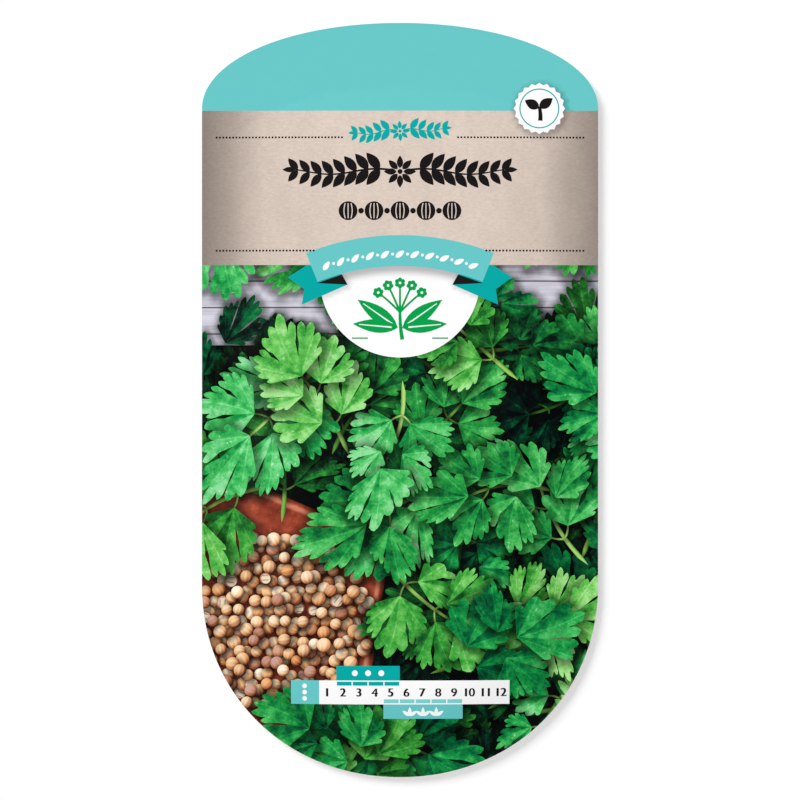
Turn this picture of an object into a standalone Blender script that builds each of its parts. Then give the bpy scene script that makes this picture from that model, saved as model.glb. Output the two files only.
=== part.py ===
"""A sealed paper seed packet with round ends, lying on its back with the seeds inside it.

Metres, +Z up. The origin is on the surface that it lies on, under the middle of the packet. The top of
the packet points to +Y and its printed front faces +Z.
"""

import math
import random

import bmesh
import bpy
from mathutils import Matrix

# The die-cut outline, seen from above
WIDTH = 0.084
LENGTH = 0.160
TOP_ARC = 0.0182
BOTTOM_ARC = 0.0407
TOP_POWER = 2.04
BOTTOM_POWER = 2.06
ARC_STEPS = 12
SIDE_STEPS = 6

# The paper and the heat seal that joins the two sheets round the edge
PAPER = 0.00025
SEAL_GAP = 0.0001
SEAL_WIDTH = 0.0055
HEADER = 0.008

# The pouch, which starts at the seal and is full height where the seeds lie
RIM_LIFT = 0.0012
RAMP = 0.017
RAMP_STEPS = 6
FULL_RISE = 0.0035
SLACK_RISE = 0.0014
FULL_BELOW_Y = -0.022
SLACK_ABOVE_Y = 0.025
CENTRE_INSET = 0.034

# The seeds, in one layer that has slid to the bottom of the pouch
SEED_RADIUS = 0.0021
SEED_SPREAD = 0.00006
SEED_SIDES = 6
SEED_RINGS = 4
SEED_TURN = math.radians(3)
SEED_PITCH = 0.0035
SEED_CLEAR = 0.0003
SEED_INSET = 0.0205
SEEDS_BELOW_Y = -0.024
SEED_NUMBER = 7

# The finishes, each a colour in linear light and a roughness
FRONT_PRINT = ((0.14, 0.42, 0.16), 0.45)
BACK_PRINT = ((0.78, 0.72, 0.64), 0.5)
SEED_HUSK = ((0.55, 0.36, 0.17), 0.6)
SHARP_EDGE = math.radians(40)

FRONT_LOW = RIM_LIFT + PAPER + SEAL_GAP


def clear_scene():
    """Remove what the startup file holds."""
    for obj in list(bpy.data.objects):
        bpy.data.objects.remove(obj)


def paint(obj, finish):
    """Give an object a material of its own."""
    colour, roughness = finish
    material = bpy.data.materials.new(obj.name + "_finish")
    material.use_nodes = True
    shader = material.node_tree.nodes["Principled BSDF"]
    shader.inputs["Base Color"].default_value = (*colour, 1.0)
    shader.inputs["Roughness"].default_value = roughness
    shader.inputs["Metallic"].default_value = 0.0
    obj.data.materials.append(material)


def add_object(name, bm, finish):
    """Turn a bmesh into a shaded object."""
    bmesh.ops.recalc_face_normals(bm, faces=bm.faces)
    mesh = bpy.data.meshes.new(name)
    bm.to_mesh(mesh)
    bm.free()
    mesh.shade_smooth()
    mesh.set_sharp_from_angle(angle=SHARP_EDGE)
    obj = bpy.data.objects.new(name, mesh)
    bpy.context.collection.objects.link(obj)
    paint(obj, finish)
    return obj


def arc_point(angle, half_width, height, power):
    """A point of a superellipse's quarter, where angle 0 is on its side and a right angle is its apex."""
    along = abs(math.cos(angle)) ** (2 / power)
    up = abs(math.sin(angle)) ** (2 / power)
    return half_width * along, height * up


def outline(inset, header=0.0):
    """The packet's outline taken in by inset, with its top lowered by header as well.

    The points run from the top's middle down the right side to the bottom's middle and back up the left.
    """
    half = WIDTH / 2 - inset
    top_arc = TOP_ARC * half / (WIDTH / 2)
    bottom_arc = BOTTOM_ARC * half / (WIDTH / 2)
    top_y = LENGTH / 2 - inset - header - top_arc
    bottom_y = -LENGTH / 2 + inset + bottom_arc
    right = []
    for step in range(ARC_STEPS):
        x, y = arc_point(math.pi / 2 * (1 - step / ARC_STEPS), half, top_arc, TOP_POWER)
        right.append((x, top_y + y))
    for step in range(SIDE_STEPS):
        right.append((half, top_y + (bottom_y - top_y) * step / SIDE_STEPS))
    for step in range(ARC_STEPS + 1):
        x, y = arc_point(math.pi / 2 * step / ARC_STEPS, half, bottom_arc, BOTTOM_POWER)
        right.append((x, bottom_y - y))
    right[0] = (0.0, right[0][1])
    right[-1] = (0.0, right[-1][1])
    left = [(-x, y) for x, y in reversed(right[1:-1])]
    return right + left


def smooth(share):
    """A smooth step from 0 to 1."""
    share = min(1.0, max(0.0, share))
    return share * share * (3 - 2 * share)


def swell(inset):
    """How full the pouch is at an inset: 0 at the seal and 1 past the ramp."""
    share = min(1.0, max(0.0, (inset - SEAL_WIDTH) / RAMP))
    return math.sin(math.pi / 2 * share)


def rise(y):
    """How far the front stands above the seal in the middle of the pouch."""
    share = smooth((SLACK_ABOVE_Y - y) / (SLACK_ABOVE_Y - FULL_BELOW_Y))
    return SLACK_RISE + (FULL_RISE - SLACK_RISE) * share


def ring_insets():
    """The insets of the sheets' rings, from the cut edge to the middle."""
    ramp = [SEAL_WIDTH + RAMP * step / RAMP_STEPS for step in range(RAMP_STEPS + 1)]
    return [0.0, *ramp, CENTRE_INSET]


def close_middle(bm, ring):
    """Fill the last ring with faces that run straight across it."""
    last = len(ring)
    for step in range(last // 2):
        right, left = ring[step], ring[-step % last]
        next_right, next_left = ring[step + 1], ring[last - step - 1]
        corners = list(dict.fromkeys([right, left, next_left, next_right]))
        bm.faces.new(corners)


def join_rings(bm, first, second):
    """Bridge two rings of the same number of points."""
    for step, corner in enumerate(first):
        after = (step + 1) % len(first)
        bm.faces.new((corner, first[after], second[after], second[step]))


def add_sheet(name, low_height, finish):
    """A sheet of paper whose lower side follows low_height(inset, y)."""
    bm = bmesh.new()
    rims = []
    for lift in (0.0, PAPER):
        rings = []
        for inset in ring_insets():
            header = HEADER if inset > 0 else 0.0
            points = outline(inset, header)
            rings.append([bm.verts.new((x, y, low_height(inset, y) + lift)) for x, y in points])
        for outer, inner in zip(rings, rings[1:]):
            join_rings(bm, outer, inner)
        close_middle(bm, rings[-1])
        rims.append(rings[0])
    join_rings(bm, *rims)
    return add_object(name, bm, finish)


def front_low(inset, y):
    """Height of the front sheet's inner side."""
    return FRONT_LOW + rise(y) * swell(inset)


def back_low(inset, _y):
    """Height of the back sheet's outer side, which is flat on the surface in the middle."""
    return RIM_LIFT * (1 - swell(inset))


def inside(x, y, inset):
    """Whether a point is within the outline taken in by inset."""
    half = WIDTH / 2 - inset
    bottom_arc = BOTTOM_ARC * half / (WIDTH / 2)
    below = max(0.0, -LENGTH / 2 + inset + bottom_arc - y)
    return (abs(x) / half) ** BOTTOM_POWER + (below / bottom_arc) ** BOTTOM_POWER <= 1


def seed_places():
    """The seeds' middles, on staggered rows from the bottom of the pouch up."""
    row_step = SEED_PITCH * math.sqrt(3) / 2
    columns = math.ceil(WIDTH / SEED_PITCH / 2)
    places = []
    row = 0
    y = -LENGTH / 2
    while y < SEEDS_BELOW_Y:
        shift = SEED_PITCH / 2 if row % 2 else 0.0
        for column in range(-columns, columns + 1):
            x = column * SEED_PITCH + shift
            if inside(x, y, SEED_INSET):
                places.append((x, y))
        row += 1
        y += row_step
    return places


def seed_ball(x, y, draw):
    """The mesh of one seed, with its flats towards its neighbours."""
    bm = bmesh.new()
    radius = SEED_RADIUS - draw.uniform(0, SEED_SPREAD)
    bmesh.ops.create_uvsphere(bm, u_segments=SEED_SIDES, v_segments=SEED_RINGS, radius=radius)
    half_side = math.pi / SEED_SIDES
    turn = Matrix.Rotation(half_side + draw.uniform(-SEED_TURN, SEED_TURN), 3, "Z")
    bmesh.ops.rotate(bm, verts=bm.verts, matrix=turn)
    bmesh.ops.translate(bm, verts=bm.verts, vec=(x, y, PAPER + SEED_CLEAR + SEED_RADIUS))
    mesh = bpy.data.meshes.new("seed_ball")
    bm.to_mesh(mesh)
    bm.free()
    return mesh


def add_seeds():
    """The layer of touching seeds, joined where they meet."""
    draw = random.Random(SEED_NUMBER)
    first, *others = [bpy.data.objects.new("seed_ball", seed_ball(x, y, draw)) for x, y in seed_places()]
    first.name = "coriander_seeds"
    bpy.context.scene.collection.objects.link(first)
    group = bpy.data.collections.new("seed_balls")
    bpy.context.scene.collection.children.link(group)
    for ball in others:
        group.objects.link(ball)
    join = first.modifiers.new("join", "BOOLEAN")
    join.operation = "UNION"
    join.operand_type = "COLLECTION"
    join.collection = group
    join.solver = "MANIFOLD"
    graph = bpy.context.evaluated_depsgraph_get()
    joined = bpy.data.meshes.new_from_object(first.evaluated_get(graph))
    first.modifiers.remove(join)
    first.data = joined
    for ball in others:
        bpy.data.objects.remove(ball)
    bpy.data.collections.remove(group)
    paint(first, SEED_HUSK)


def main():
    """Build the packet."""
    clear_scene()
    add_sheet("back_sheet", back_low, BACK_PRINT)
    add_seeds()
    add_sheet("front_sheet", front_low, FRONT_PRINT)


main()
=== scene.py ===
"""The looks of a sealed paper seed packet with round ends: its two printed sheets and the seeds in it.

Plans are drawn flat in millimetres, seen from the printed side, with x to the right and y to the packet's
top. They become metres when a mesh is made. Printed fields run past the paper's sides and ends, where the
die cuts them off.
"""

import logging
import math
import random
from dataclasses import dataclass, field
from enum import Enum
from typing import Callable

import bmesh
import bpy
import numpy as np
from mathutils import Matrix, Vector
from mathutils.geometry import delaunay_2d_cdt

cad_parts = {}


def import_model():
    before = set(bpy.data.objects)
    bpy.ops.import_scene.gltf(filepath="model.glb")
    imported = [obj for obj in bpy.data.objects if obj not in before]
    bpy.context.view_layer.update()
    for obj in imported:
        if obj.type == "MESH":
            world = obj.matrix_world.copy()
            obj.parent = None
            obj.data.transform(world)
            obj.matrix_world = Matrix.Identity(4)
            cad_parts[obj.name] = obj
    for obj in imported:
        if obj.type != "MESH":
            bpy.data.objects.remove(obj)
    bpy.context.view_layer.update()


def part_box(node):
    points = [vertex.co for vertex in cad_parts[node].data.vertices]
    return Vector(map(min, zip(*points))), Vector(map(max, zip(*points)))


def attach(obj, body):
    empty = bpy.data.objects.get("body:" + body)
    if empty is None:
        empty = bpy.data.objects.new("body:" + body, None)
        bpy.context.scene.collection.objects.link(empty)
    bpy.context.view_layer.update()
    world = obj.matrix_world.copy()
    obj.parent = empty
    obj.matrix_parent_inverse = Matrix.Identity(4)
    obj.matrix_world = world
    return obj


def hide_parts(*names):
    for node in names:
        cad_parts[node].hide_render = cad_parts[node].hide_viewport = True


log = logging.getLogger("seed_packet")

MM = 0.001
BODY = "root"
BATCH = 4096
TINY = 1e-12
PAST_SIDE = 43.0
PAST_END = 82.0
HEAD_LOW = 61.35
KRAFT_LOW = 28.6
Points = np.ndarray
Height = Callable[[np.ndarray, np.ndarray], np.ndarray]
Stops = tuple[tuple[float, tuple[float, float, float]], ...]


class Ink(Enum):
    """The printed inks and pictured things, in the order of the sheets' material slots."""

    BARE_PAPER = 0
    TURQUOISE = 1
    KRAFT = 2
    DEEP_TEAL = 3
    PALE_TEAL = 4
    WHITE = 5
    BLACK = 6
    GREEN = 7
    FOLD = 8
    LEAF = 9
    STALK = 10
    SEED = 11
    SHADE = 12
    PLANK = 13
    CLAY = 14


PLACED_INKS = (Ink.LEAF, Ink.STALK, Ink.SEED, Ink.CLAY)


def new_object(name: str, data: bpy.types.ID) -> bpy.types.Object:
    """Put new data into the scene as an object."""
    made = bpy.data.objects.new(name, data)
    bpy.context.collection.objects.link(made)
    return made


def smooth(share: np.ndarray) -> np.ndarray:
    """Smooth step from 0 to 1."""
    share = np.clip(share, 0.0, 1.0)
    return share * share * (3 - 2 * share)


def contains(outline: Points, points: Points) -> np.ndarray:
    """Tell which points lie inside a closed outline.

    Args:
        outline: The outline's corners.
        points: The points to test.

    Returns:
        One truth value for each point.
    """
    start, end = outline, np.roll(outline, -1, axis=0)
    rise = end[:, 1] - start[:, 1]
    rise = np.where(np.abs(rise) < TINY, TINY, rise)
    slant = (end[:, 0] - start[:, 0]) / rise
    inside = np.zeros(len(points), bool)
    for first in range(0, len(points), BATCH):
        x, y = points[first:first + BATCH, 0:1], points[first:first + BATCH, 1:2]
        spans = (start[:, 1] > y) != (end[:, 1] > y)
        crossed = spans & (x < start[:, 0] + slant * (y - start[:, 1]))
        inside[first:first + BATCH] = crossed.sum(axis=1) % 2 == 1
    return inside


def nearest_on(points: Points, start: Points, side: Points) -> tuple[np.ndarray, Points]:
    """Find the place on each of some straight sides that is nearest to each point.

    Args:
        points: The points.
        start: Where each side starts.
        side: The step from there to its end.

    Returns:
        How far along its side each place is, from 0 to 1, and the step from the place to the point.
    """
    long = np.maximum((side * side).sum(axis=1), TINY)
    away = points[:, None, :] - start[None, :, :]
    share = np.clip((away * side).sum(axis=2) / long, 0.0, 1.0)
    return share, away - share[:, :, None] * side


def distance_to(outline: Points, points: Points) -> np.ndarray:
    """Measure each point's distance outside a closed outline, which is 0 inside it.

    Args:
        outline: The outline's corners.
        points: The points to measure.

    Returns:
        The distances, in millimetres.
    """
    side = np.roll(outline, -1, axis=0) - outline
    nearest = np.zeros(len(points))
    for first in range(0, len(points), BATCH):
        _, gap = nearest_on(points[first:first + BATCH], outline, side)
        nearest[first:first + BATCH] = np.sqrt((gap * gap).sum(axis=2)).min(axis=1)
    return np.where(contains(outline, points), 0.0, nearest)


class Shelf:
    """Points sorted by height, so that those in a box are found fast."""

    def __init__(self, points: Points) -> None:
        """Sort the points."""
        self.points = points
        self.order = np.argsort(points[:, 1], kind="stable")
        self.heights = points[self.order, 1]

    def within(self, outline: Points, margin: float = 0.0) -> np.ndarray:
        """Find the points in the box of an outline.

        Args:
            outline: The outline.
            margin: How far round its box to look.

        Returns:
            The points' numbers.
        """
        left, low = outline.min(axis=0) - margin
        right, high = outline.max(axis=0) + margin
        first, last = np.searchsorted(self.heights, (low, high))
        rows = self.order[first:last]
        across = self.points[rows, 0]
        return rows[(across >= left) & (across <= right)]


def rounded(outline: Points, passes: int = 2) -> Points:
    """Cut an outline's corners.

    Args:
        outline: The closed outline.
        passes: How often to cut them.

    Returns:
        The rounder outline.
    """
    for _ in range(passes):
        after = np.roll(outline, -1, axis=0)
        near, far = 0.75 * outline + 0.25 * after, 0.25 * outline + 0.75 * after
        outline = np.stack([near, far], axis=1).reshape(-1, 2)
    return outline


def split(start: Points, end: Points, longest: float) -> Points:
    """Cut straight sides into parts no longer than longest, and give where each part starts.

    Args:
        start: Where each side starts.
        end: Where each side ends.
        longest: The greatest length of a part.

    Returns:
        The parts' starts, side after side.
    """
    count = np.maximum(1, np.ceil(np.linalg.norm(end - start, axis=1) / longest).astype(int))
    return np.concatenate([
        start[k] + (end[k] - start[k]) * (np.arange(parts) / parts)[:, None] for k, parts in enumerate(count)
    ])


def polar(reach: float | np.ndarray, angle: float | np.ndarray) -> Points:
    """Give the places that are as far and at such angles from 0, 0."""
    return np.stack([reach * np.cos(angle), reach * np.sin(angle)], axis=-1)


def turned(points: Points, angle: float) -> Points:
    """Turn points about the origin."""
    cos, sin = math.cos(angle), math.sin(angle)
    return points @ np.array([[cos, sin], [-sin, cos]])


def ring(radius: float, sides: int, middle: Points | tuple[float, float] = (0.0, 0.0)) -> Points:
    """Make a circle's corners."""
    return np.asarray(middle) + polar(radius, np.arange(sides) * math.tau / sides)


def block(left: float, right: float, low: float, high: float) -> Points:
    """Make an upright rectangle's corners."""
    return np.array([[left, low], [right, low], [right, high], [left, high]])


def strip(line: Points, start_width: float, end_width: float) -> Points:
    """Make the outline of a stroke that follows a line and tapers.

    Args:
        line: The points that the stroke's middle follows.
        start_width: Its width at the first point.
        end_width: Its width at the last point.

    Returns:
        The outline's corners.
    """
    along = np.gradient(line, axis=0)
    along /= np.maximum(np.linalg.norm(along, axis=1, keepdims=True), TINY)
    across = np.stack([-along[:, 1], along[:, 0]], axis=1)
    half = np.linspace(start_width, end_width, len(line))[:, None] / 2
    return np.concatenate([line + across * half, (line - across * half)[::-1]])


def bow(start: Points, end: Points, bend: float, steps: int = 9) -> Points:
    """Make a line that bows to its left.

    Args:
        start: Its first point.
        end: Its last point.
        bend: How far it bows, as a share of its length.
        steps: How many points it has.

    Returns:
        Its points.
    """
    start, end = np.asarray(start, float), np.asarray(end, float)
    chord = end - start
    middle = (start + end) / 2 + bend * np.array([-chord[1], chord[0]])
    t = np.linspace(0, 1, steps)[:, None]
    return (1 - t) ** 2 * start + 2 * t * (1 - t) * middle + t**2 * end


@dataclass(frozen=True)
class PacketForm:
    """The packet's outline and how far its sheets stand apart, in millimetres.

    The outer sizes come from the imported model. The others are those of its source.
    """

    half_width: float
    half_length: float
    front_low: float
    rim_lift: float
    full_rise: float
    paper: float = 0.25
    top_arc: float = 18.2
    bottom_arc: float = 40.7
    top_power: float = 2.04
    bottom_power: float = 2.06
    seal: float = 5.5
    header: float = 8.0
    ramp: float = 17.0
    slack_rise: float = 1.4
    full_below: float = -22.0
    slack_above: float = 25.0

    @classmethod
    def from_frame(cls) -> "PacketForm":
        """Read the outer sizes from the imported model.

        Returns:
            The packet's form.
        """
        front_low, front_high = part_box("front_sheet")
        _, back_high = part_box("back_sheet")
        rise = (front_high.z - front_low.z) / MM - cls.paper
        return cls(
            half_width=front_high.x / MM,
            half_length=front_high.y / MM,
            front_low=front_low.z / MM,
            rim_lift=back_high.z / MM - cls.paper,
            full_rise=rise,
        )

    def edge(self, arc_steps: int = 60, side_steps: int = 30) -> Points:
        """Make the die-cut outline, from the top's middle round by the right.

        Args:
            arc_steps: The steps of each quarter of an arc.
            side_steps: The steps of each straight side.

        Returns:
            The outline's corners.
        """
        top_y = self.half_length - self.top_arc
        bottom_y = self.bottom_arc - self.half_length
        right = []
        for step in range(arc_steps):
            angle = math.pi / 2 * (1 - step / arc_steps)
            x = self.half_width * math.cos(angle) ** (2 / self.top_power)
            right.append((x, top_y + self.top_arc * math.sin(angle) ** (2 / self.top_power)))
        for step in range(side_steps):
            right.append((self.half_width, top_y + (bottom_y - top_y) * step / side_steps))
        for step in range(arc_steps + 1):
            angle = math.pi / 2 * step / arc_steps
            x = self.half_width * math.cos(angle) ** (2 / self.bottom_power)
            right.append((x, bottom_y - self.bottom_arc * math.sin(angle) ** (2 / self.bottom_power)))
        right[0], right[-1] = (0.0, self.half_length), (0.0, -self.half_length)
        left = [(-x, y) for x, y in reversed(right[1:-1])]
        return np.array(right + left)

    def within(self, x: np.ndarray, y: np.ndarray, inset: np.ndarray) -> np.ndarray:
        """Tell which points are inside the pouch's outline at each point's own inset.

        Args:
            x: The points' places across.
            y: Their places up.
            inset: How far in from the edge the outline lies for each.

        Returns:
            Whether each point is inside.
        """
        half = self.half_width - inset
        top = self.top_arc * half / self.half_width
        bottom = self.bottom_arc * half / self.half_width
        above = y - (self.half_length - inset - self.header - top)
        below = inset + bottom - self.half_length - y
        side = np.abs(x) / half
        high = side**self.top_power + (np.maximum(above, 0) / top) ** self.top_power
        low = side**self.bottom_power + (np.maximum(below, 0) / bottom) ** self.bottom_power
        return np.where(above > 0, high, np.where(below > 0, low, side)) <= 1

    def inset_at(self, x: np.ndarray, y: np.ndarray) -> np.ndarray:
        """Find how deep inside the pouch's outline each point is.

        Args:
            x: The points' places across.
            y: Their places up.

        Returns:
            The depths.
        """
        innermost, halvings = self.half_width - 0.5, 22
        near = np.zeros_like(x)
        far = np.full_like(x, innermost)
        for _ in range(halvings):
            middle = (near + far) / 2
            inside = self.within(x, y, middle)
            near, far = np.where(inside, middle, near), np.where(inside, far, middle)
        return near

    def swell(self, inset: np.ndarray) -> np.ndarray:
        """Say how full the pouch is: 0 on the seal and 1 past the ramp."""
        share = np.clip((inset - self.seal) / self.ramp, 0.0, 1.0)
        return np.sin(math.pi / 2 * share)

    def rise(self, y: np.ndarray) -> np.ndarray:
        """Say how far the front stands above the seal where the pouch is full."""
        share = smooth((self.slack_above - y) / (self.slack_above - self.full_below))
        return self.slack_rise + (self.full_rise - self.slack_rise) * share


@dataclass(frozen=True)
class SeedLayer:
    """The layer of loose seeds, in the places that the model's own seeds have."""

    form: PacketForm
    pitch: float = 3.5
    fill: float = 0.98
    clear: float = 0.3
    inset: float = 20.5
    below_y: float = -24.0
    rib_height: float = 0.04
    sides: int = 10
    rings: int = 5
    point: float = 1.16
    seed: int = 7

    def places(self) -> Points:
        """Work out the seeds' middles on staggered rows.

        Returns:
            The middles.
        """
        row_step = self.pitch * math.sqrt(3) / 2
        columns = math.ceil(self.form.half_width / self.pitch)
        rows = math.ceil((self.below_y + self.form.half_length) / row_step)
        spots = []
        for row in range(rows):
            for column in range(-columns, columns + 1):
                x = column * self.pitch + (self.pitch / 2 if row % 2 else 0.0)
                spots.append((x, row * row_step - self.form.half_length))
        spots = np.array(spots)
        far = np.full(len(spots), self.inset)
        lowest = self.form.within(spots[:, 0], np.minimum(spots[:, 1], 0.0), far)
        return spots[lowest]

    def one_seed(self) -> bpy.types.Mesh:
        """Turn one ribbed husk, with its small point up.

        Returns:
            Its mesh.
        """
        bm = bmesh.new()
        radius = self.pitch / 2 * self.fill
        rings = []
        for step in range(1, self.rings):
            lean = math.pi * step / self.rings
            corners = []
            for side in range(self.sides):
                turn = 2 * math.pi * side / self.sides
                rib = 1 - self.rib_height * (side % 2) * math.sin(lean)
                flat = radius * rib * math.sin(lean)
                corners.append(bm.verts.new(
                    (flat * math.cos(turn) * MM, flat * math.sin(turn) * MM, radius * math.cos(lean) * MM)
                ))
            rings.append(corners)
        top = bm.verts.new((0, 0, radius * self.point * MM))
        bottom = bm.verts.new((0, 0, -radius * MM))
        for upper, lower in zip(rings, rings[1:]):
            for side in range(self.sides):
                after = (side + 1) % self.sides
                bm.faces.new((upper[side], lower[side], lower[after], upper[after]))
        for side in range(self.sides):
            after = (side + 1) % self.sides
            bm.faces.new((top, rings[0][side], rings[0][after]))
            bm.faces.new((bottom, rings[-1][after], rings[-1][side]))
        bmesh.ops.recalc_face_normals(bm, faces=bm.faces)
        mesh = bpy.data.meshes.new("husk")
        bm.to_mesh(mesh)
        bm.free()
        mesh.shade_smooth()
        return mesh

    def build(self, finish: bpy.types.Material) -> bpy.types.Object:
        """Scatter the seeds with Geometry Nodes and make them one plain mesh.

        Args:
            finish: The seeds' material.

        Returns:
            The finished piece.
        """
        husk = bpy.data.objects.new("husk", self.one_seed())
        spots = self.places()
        height = self.form.paper + self.clear + self.pitch / 2 * self.fill
        mesh = bpy.data.meshes.new("seed_spots")
        mesh.from_pydata([(x * MM, y * MM, height * MM) for x, y in spots], [], [])
        piece = new_object("seed_layer", mesh)
        tree = GeometryTree("scatter_seeds", {"Husk": "NodeSocketObject", "Seed": "NodeSocketInt"})
        shape = tree.add("GeometryNodeObjectInfo", {"Object": tree.given["Husk"]})
        turn = tree.add("FunctionNodeRandomValue", {
            "Max": (math.tau, math.tau, math.tau), "Seed": tree.given["Seed"],
        }, data_type="FLOAT_VECTOR")
        place = tree.add("GeometryNodeInstanceOnPoints", {
            "Points": tree.given["Geometry"], "Instance": shape.outputs["Geometry"],
            "Rotation": turn.outputs["Value"],
        })
        tree.finish(place.outputs["Instances"], finish)
        return tree.apply(piece, {"Husk": husk, "Seed": self.seed}, helpers=[husk])


def colour_of(red: float, green: float, blue: float) -> tuple[float, float, float, float]:
    """Turn a colour as a screen shows it, from 0 to 255, into a linear one."""
    linear = []
    for value in (red, green, blue):
        share = value / 255
        linear.append(share / 12.92 if share <= 0.04045 else ((share + 0.055) / 1.055) ** 2.4)
    return (*linear, 1.0)


class Value:
    """A number that a tree works out, so that sums on it are written as sums."""

    def __init__(self, nodes: "Nodes", socket: bpy.types.NodeSocket) -> None:
        """Stand for what a socket gives."""
        self.nodes = nodes
        self.socket = socket

    def __add__(self, other: "Value | float") -> "Value":
        """Add another."""
        return self.nodes.math("ADD", self, other)

    def __sub__(self, other: "Value | float") -> "Value":
        """Take another away."""
        return self.nodes.math("SUBTRACT", self, other)

    def __rsub__(self, other: float) -> "Value":
        """Take this away from a number."""
        return self.nodes.math("SUBTRACT", other, self)

    def __mul__(self, other: "Value | float") -> "Value":
        """Multiply by another."""
        return self.nodes.math("MULTIPLY", self, other)

    def __truediv__(self, other: "Value | float") -> "Value":
        """Divide by another."""
        return self.nodes.math("DIVIDE", self, other)

    def __abs__(self) -> "Value":
        """Drop the sign."""
        return self.nodes.math("ABSOLUTE", self)


class Nodes:
    """A tree of nodes, and what builds it."""

    def __init__(self, tree: bpy.types.NodeTree) -> None:
        """Work on a tree."""
        self.tree = tree

    def open_sockets(self, inputs: dict[str, str], outputs: dict[str, str]) -> None:
        """Give the tree its own inputs and outputs, each with its name and socket type."""
        for way, sockets in (("INPUT", inputs), ("OUTPUT", outputs)):
            for label, kind in sockets.items():
                self.tree.interface.new_socket(label, in_out=way, socket_type=kind)

    def set(self, node: bpy.types.Node, inputs: dict) -> None:
        """Give a node's inputs, by name or number, their constants or the sockets that feed them."""
        for label, value in inputs.items():
            source = value.socket if isinstance(value, Value) else value
            if isinstance(source, bpy.types.NodeSocket):
                self.tree.links.new(source, node.inputs[label])
            else:
                node.inputs[label].default_value = source

    def add(self, kind: str, inputs: dict | None = None, **settings: object) -> bpy.types.Node:
        """Add a node.

        Args:
            kind: The node's type.
            inputs: What its inputs get, by name or number.
            settings: Its own properties.

        Returns:
            The node.
        """
        node = self.tree.nodes.new(kind)
        for label, value in settings.items():
            setattr(node, label, value)
        self.set(node, inputs or {})
        return node

    def math(self, operation: str, *values: object, clamp: bool = False) -> Value:
        """Do a sum, whose result clamp keeps between 0 and 1."""
        node = self.add("ShaderNodeMath", dict(enumerate(values)), operation=operation, use_clamp=clamp)
        return Value(self, node.outputs[0])

    def step(self, value: Value, low: float, high: float, start: float = 0, end: float = 1) -> Value:
        """Rise smoothly from start to end as value goes from low to high."""
        given = {"Value": value, "From Min": low, "From Max": high, "To Min": start, "To Max": end}
        node = self.add("ShaderNodeMapRange", given, interpolation_type="SMOOTHSTEP")
        return Value(self, node.outputs["Result"])

    def noise(self, vector: object, scale: float, detail: float = 3, rough: float = 0.5) -> Value:
        """Give a noise from 0 to 1."""
        given = {"Vector": vector, "Scale": scale, "Detail": detail, "Roughness": rough}
        return Value(self, self.add("ShaderNodeTexNoise", given).outputs["Fac"])

    def parts(self, vector: object) -> tuple[Value, ...]:
        """Split a vector in three."""
        node = self.add("ShaderNodeSeparateXYZ", {0: vector})
        return tuple(Value(self, socket) for socket in node.outputs)

    def read(self, label: str) -> tuple[Value, ...]:
        """Read one of the print's own attributes, as three values."""
        return self.parts(self.add("ShaderNodeAttribute", None, attribute_name=label).outputs["Vector"])

    def place(self, stretch: tuple[float, float, float] = (1000.0, 1000.0, 1000.0)) -> object:
        """Give the place on the object, in millimetres unless it is stretched."""
        spot = self.add("ShaderNodeTexCoord").outputs["Object"]
        return self.add("ShaderNodeMapping", {"Vector": spot, "Scale": stretch}).outputs["Vector"]

    def mix(self, share: object, first: object, second: object, blend: str = "MIX") -> object:
        """Mix two colours."""
        given = {0: share, 6: first, 7: second}
        return self.add("ShaderNodeMix", given, data_type="RGBA", blend_type=blend).outputs[2]

    def scaled(self, colour: object, level: Value) -> object:
        """Make a colour lighter or darker by a factor."""
        given = {0: colour, "Scale": level}
        return self.add("ShaderNodeVectorMath", given, operation="SCALE").outputs[0]

    def ramp(self, value: Value, stops: Stops) -> object:
        """Turn a value into a colour.

        Args:
            value: The value, from 0 to 1.
            stops: The places from 0 to 1 and their screen colours.

        Returns:
            The colour's socket.
        """
        node = self.add("ShaderNodeValToRGB", {"Fac": value})
        elements = node.color_ramp.elements
        while len(elements) < len(stops):
            elements.new(1.0)
        for element, (place, colour) in zip(elements, stops):
            element.position = place
            element.color = colour_of(*colour)
        return node.outputs["Color"]


class GeometryTree(Nodes):
    """A Geometry Nodes tree with named inputs that ends in real, finished geometry."""

    def __init__(self, name: str, inputs: dict[str, str]) -> None:
        """Start a tree.

        Args:
            name: The tree's name.
            inputs: The extra inputs' names and socket types.
        """
        super().__init__(bpy.data.node_groups.new(name, "GeometryNodeTree"))
        shape = {"Geometry": "NodeSocketGeometry"}
        self.open_sockets(shape | inputs, shape)
        self.given = self.add("NodeGroupInput").outputs

    def finish(self, instances: bpy.types.NodeSocket, finish: bpy.types.Material) -> None:
        """End the tree in real geometry with a material."""
        real = self.add("GeometryNodeRealizeInstances", {"Geometry": instances})
        dress = self.add("GeometryNodeSetMaterial", {"Geometry": real.outputs[0], "Material": finish})
        self.add("NodeGroupOutput", {"Geometry": dress.outputs[0]})

    def apply(
        self, piece: bpy.types.Object, values: dict[str, object], helpers: list[bpy.types.Object]
    ) -> bpy.types.Object:
        """Run the tree on a piece, keep its result as a plain mesh, and remove the helpers.

        Args:
            piece: The object that carries the tree.
            values: The values of the tree's named inputs.
            helpers: Objects that only the tree needs.

        Returns:
            The same piece, with its new mesh.
        """
        modifier = piece.modifiers.new(self.tree.name, "NODES")
        modifier.node_group = self.tree
        for item in self.tree.interface.items_tree:
            if item.item_type == "SOCKET" and item.in_out == "INPUT" and item.name in values:
                modifier[item.identifier] = values[item.name]
        graph = bpy.context.evaluated_depsgraph_get()
        made = bpy.data.meshes.new_from_object(piece.evaluated_get(graph))
        piece.modifiers.remove(modifier)
        piece.data = made
        for helper in helpers:
            bpy.data.objects.remove(helper)
        return piece


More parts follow.
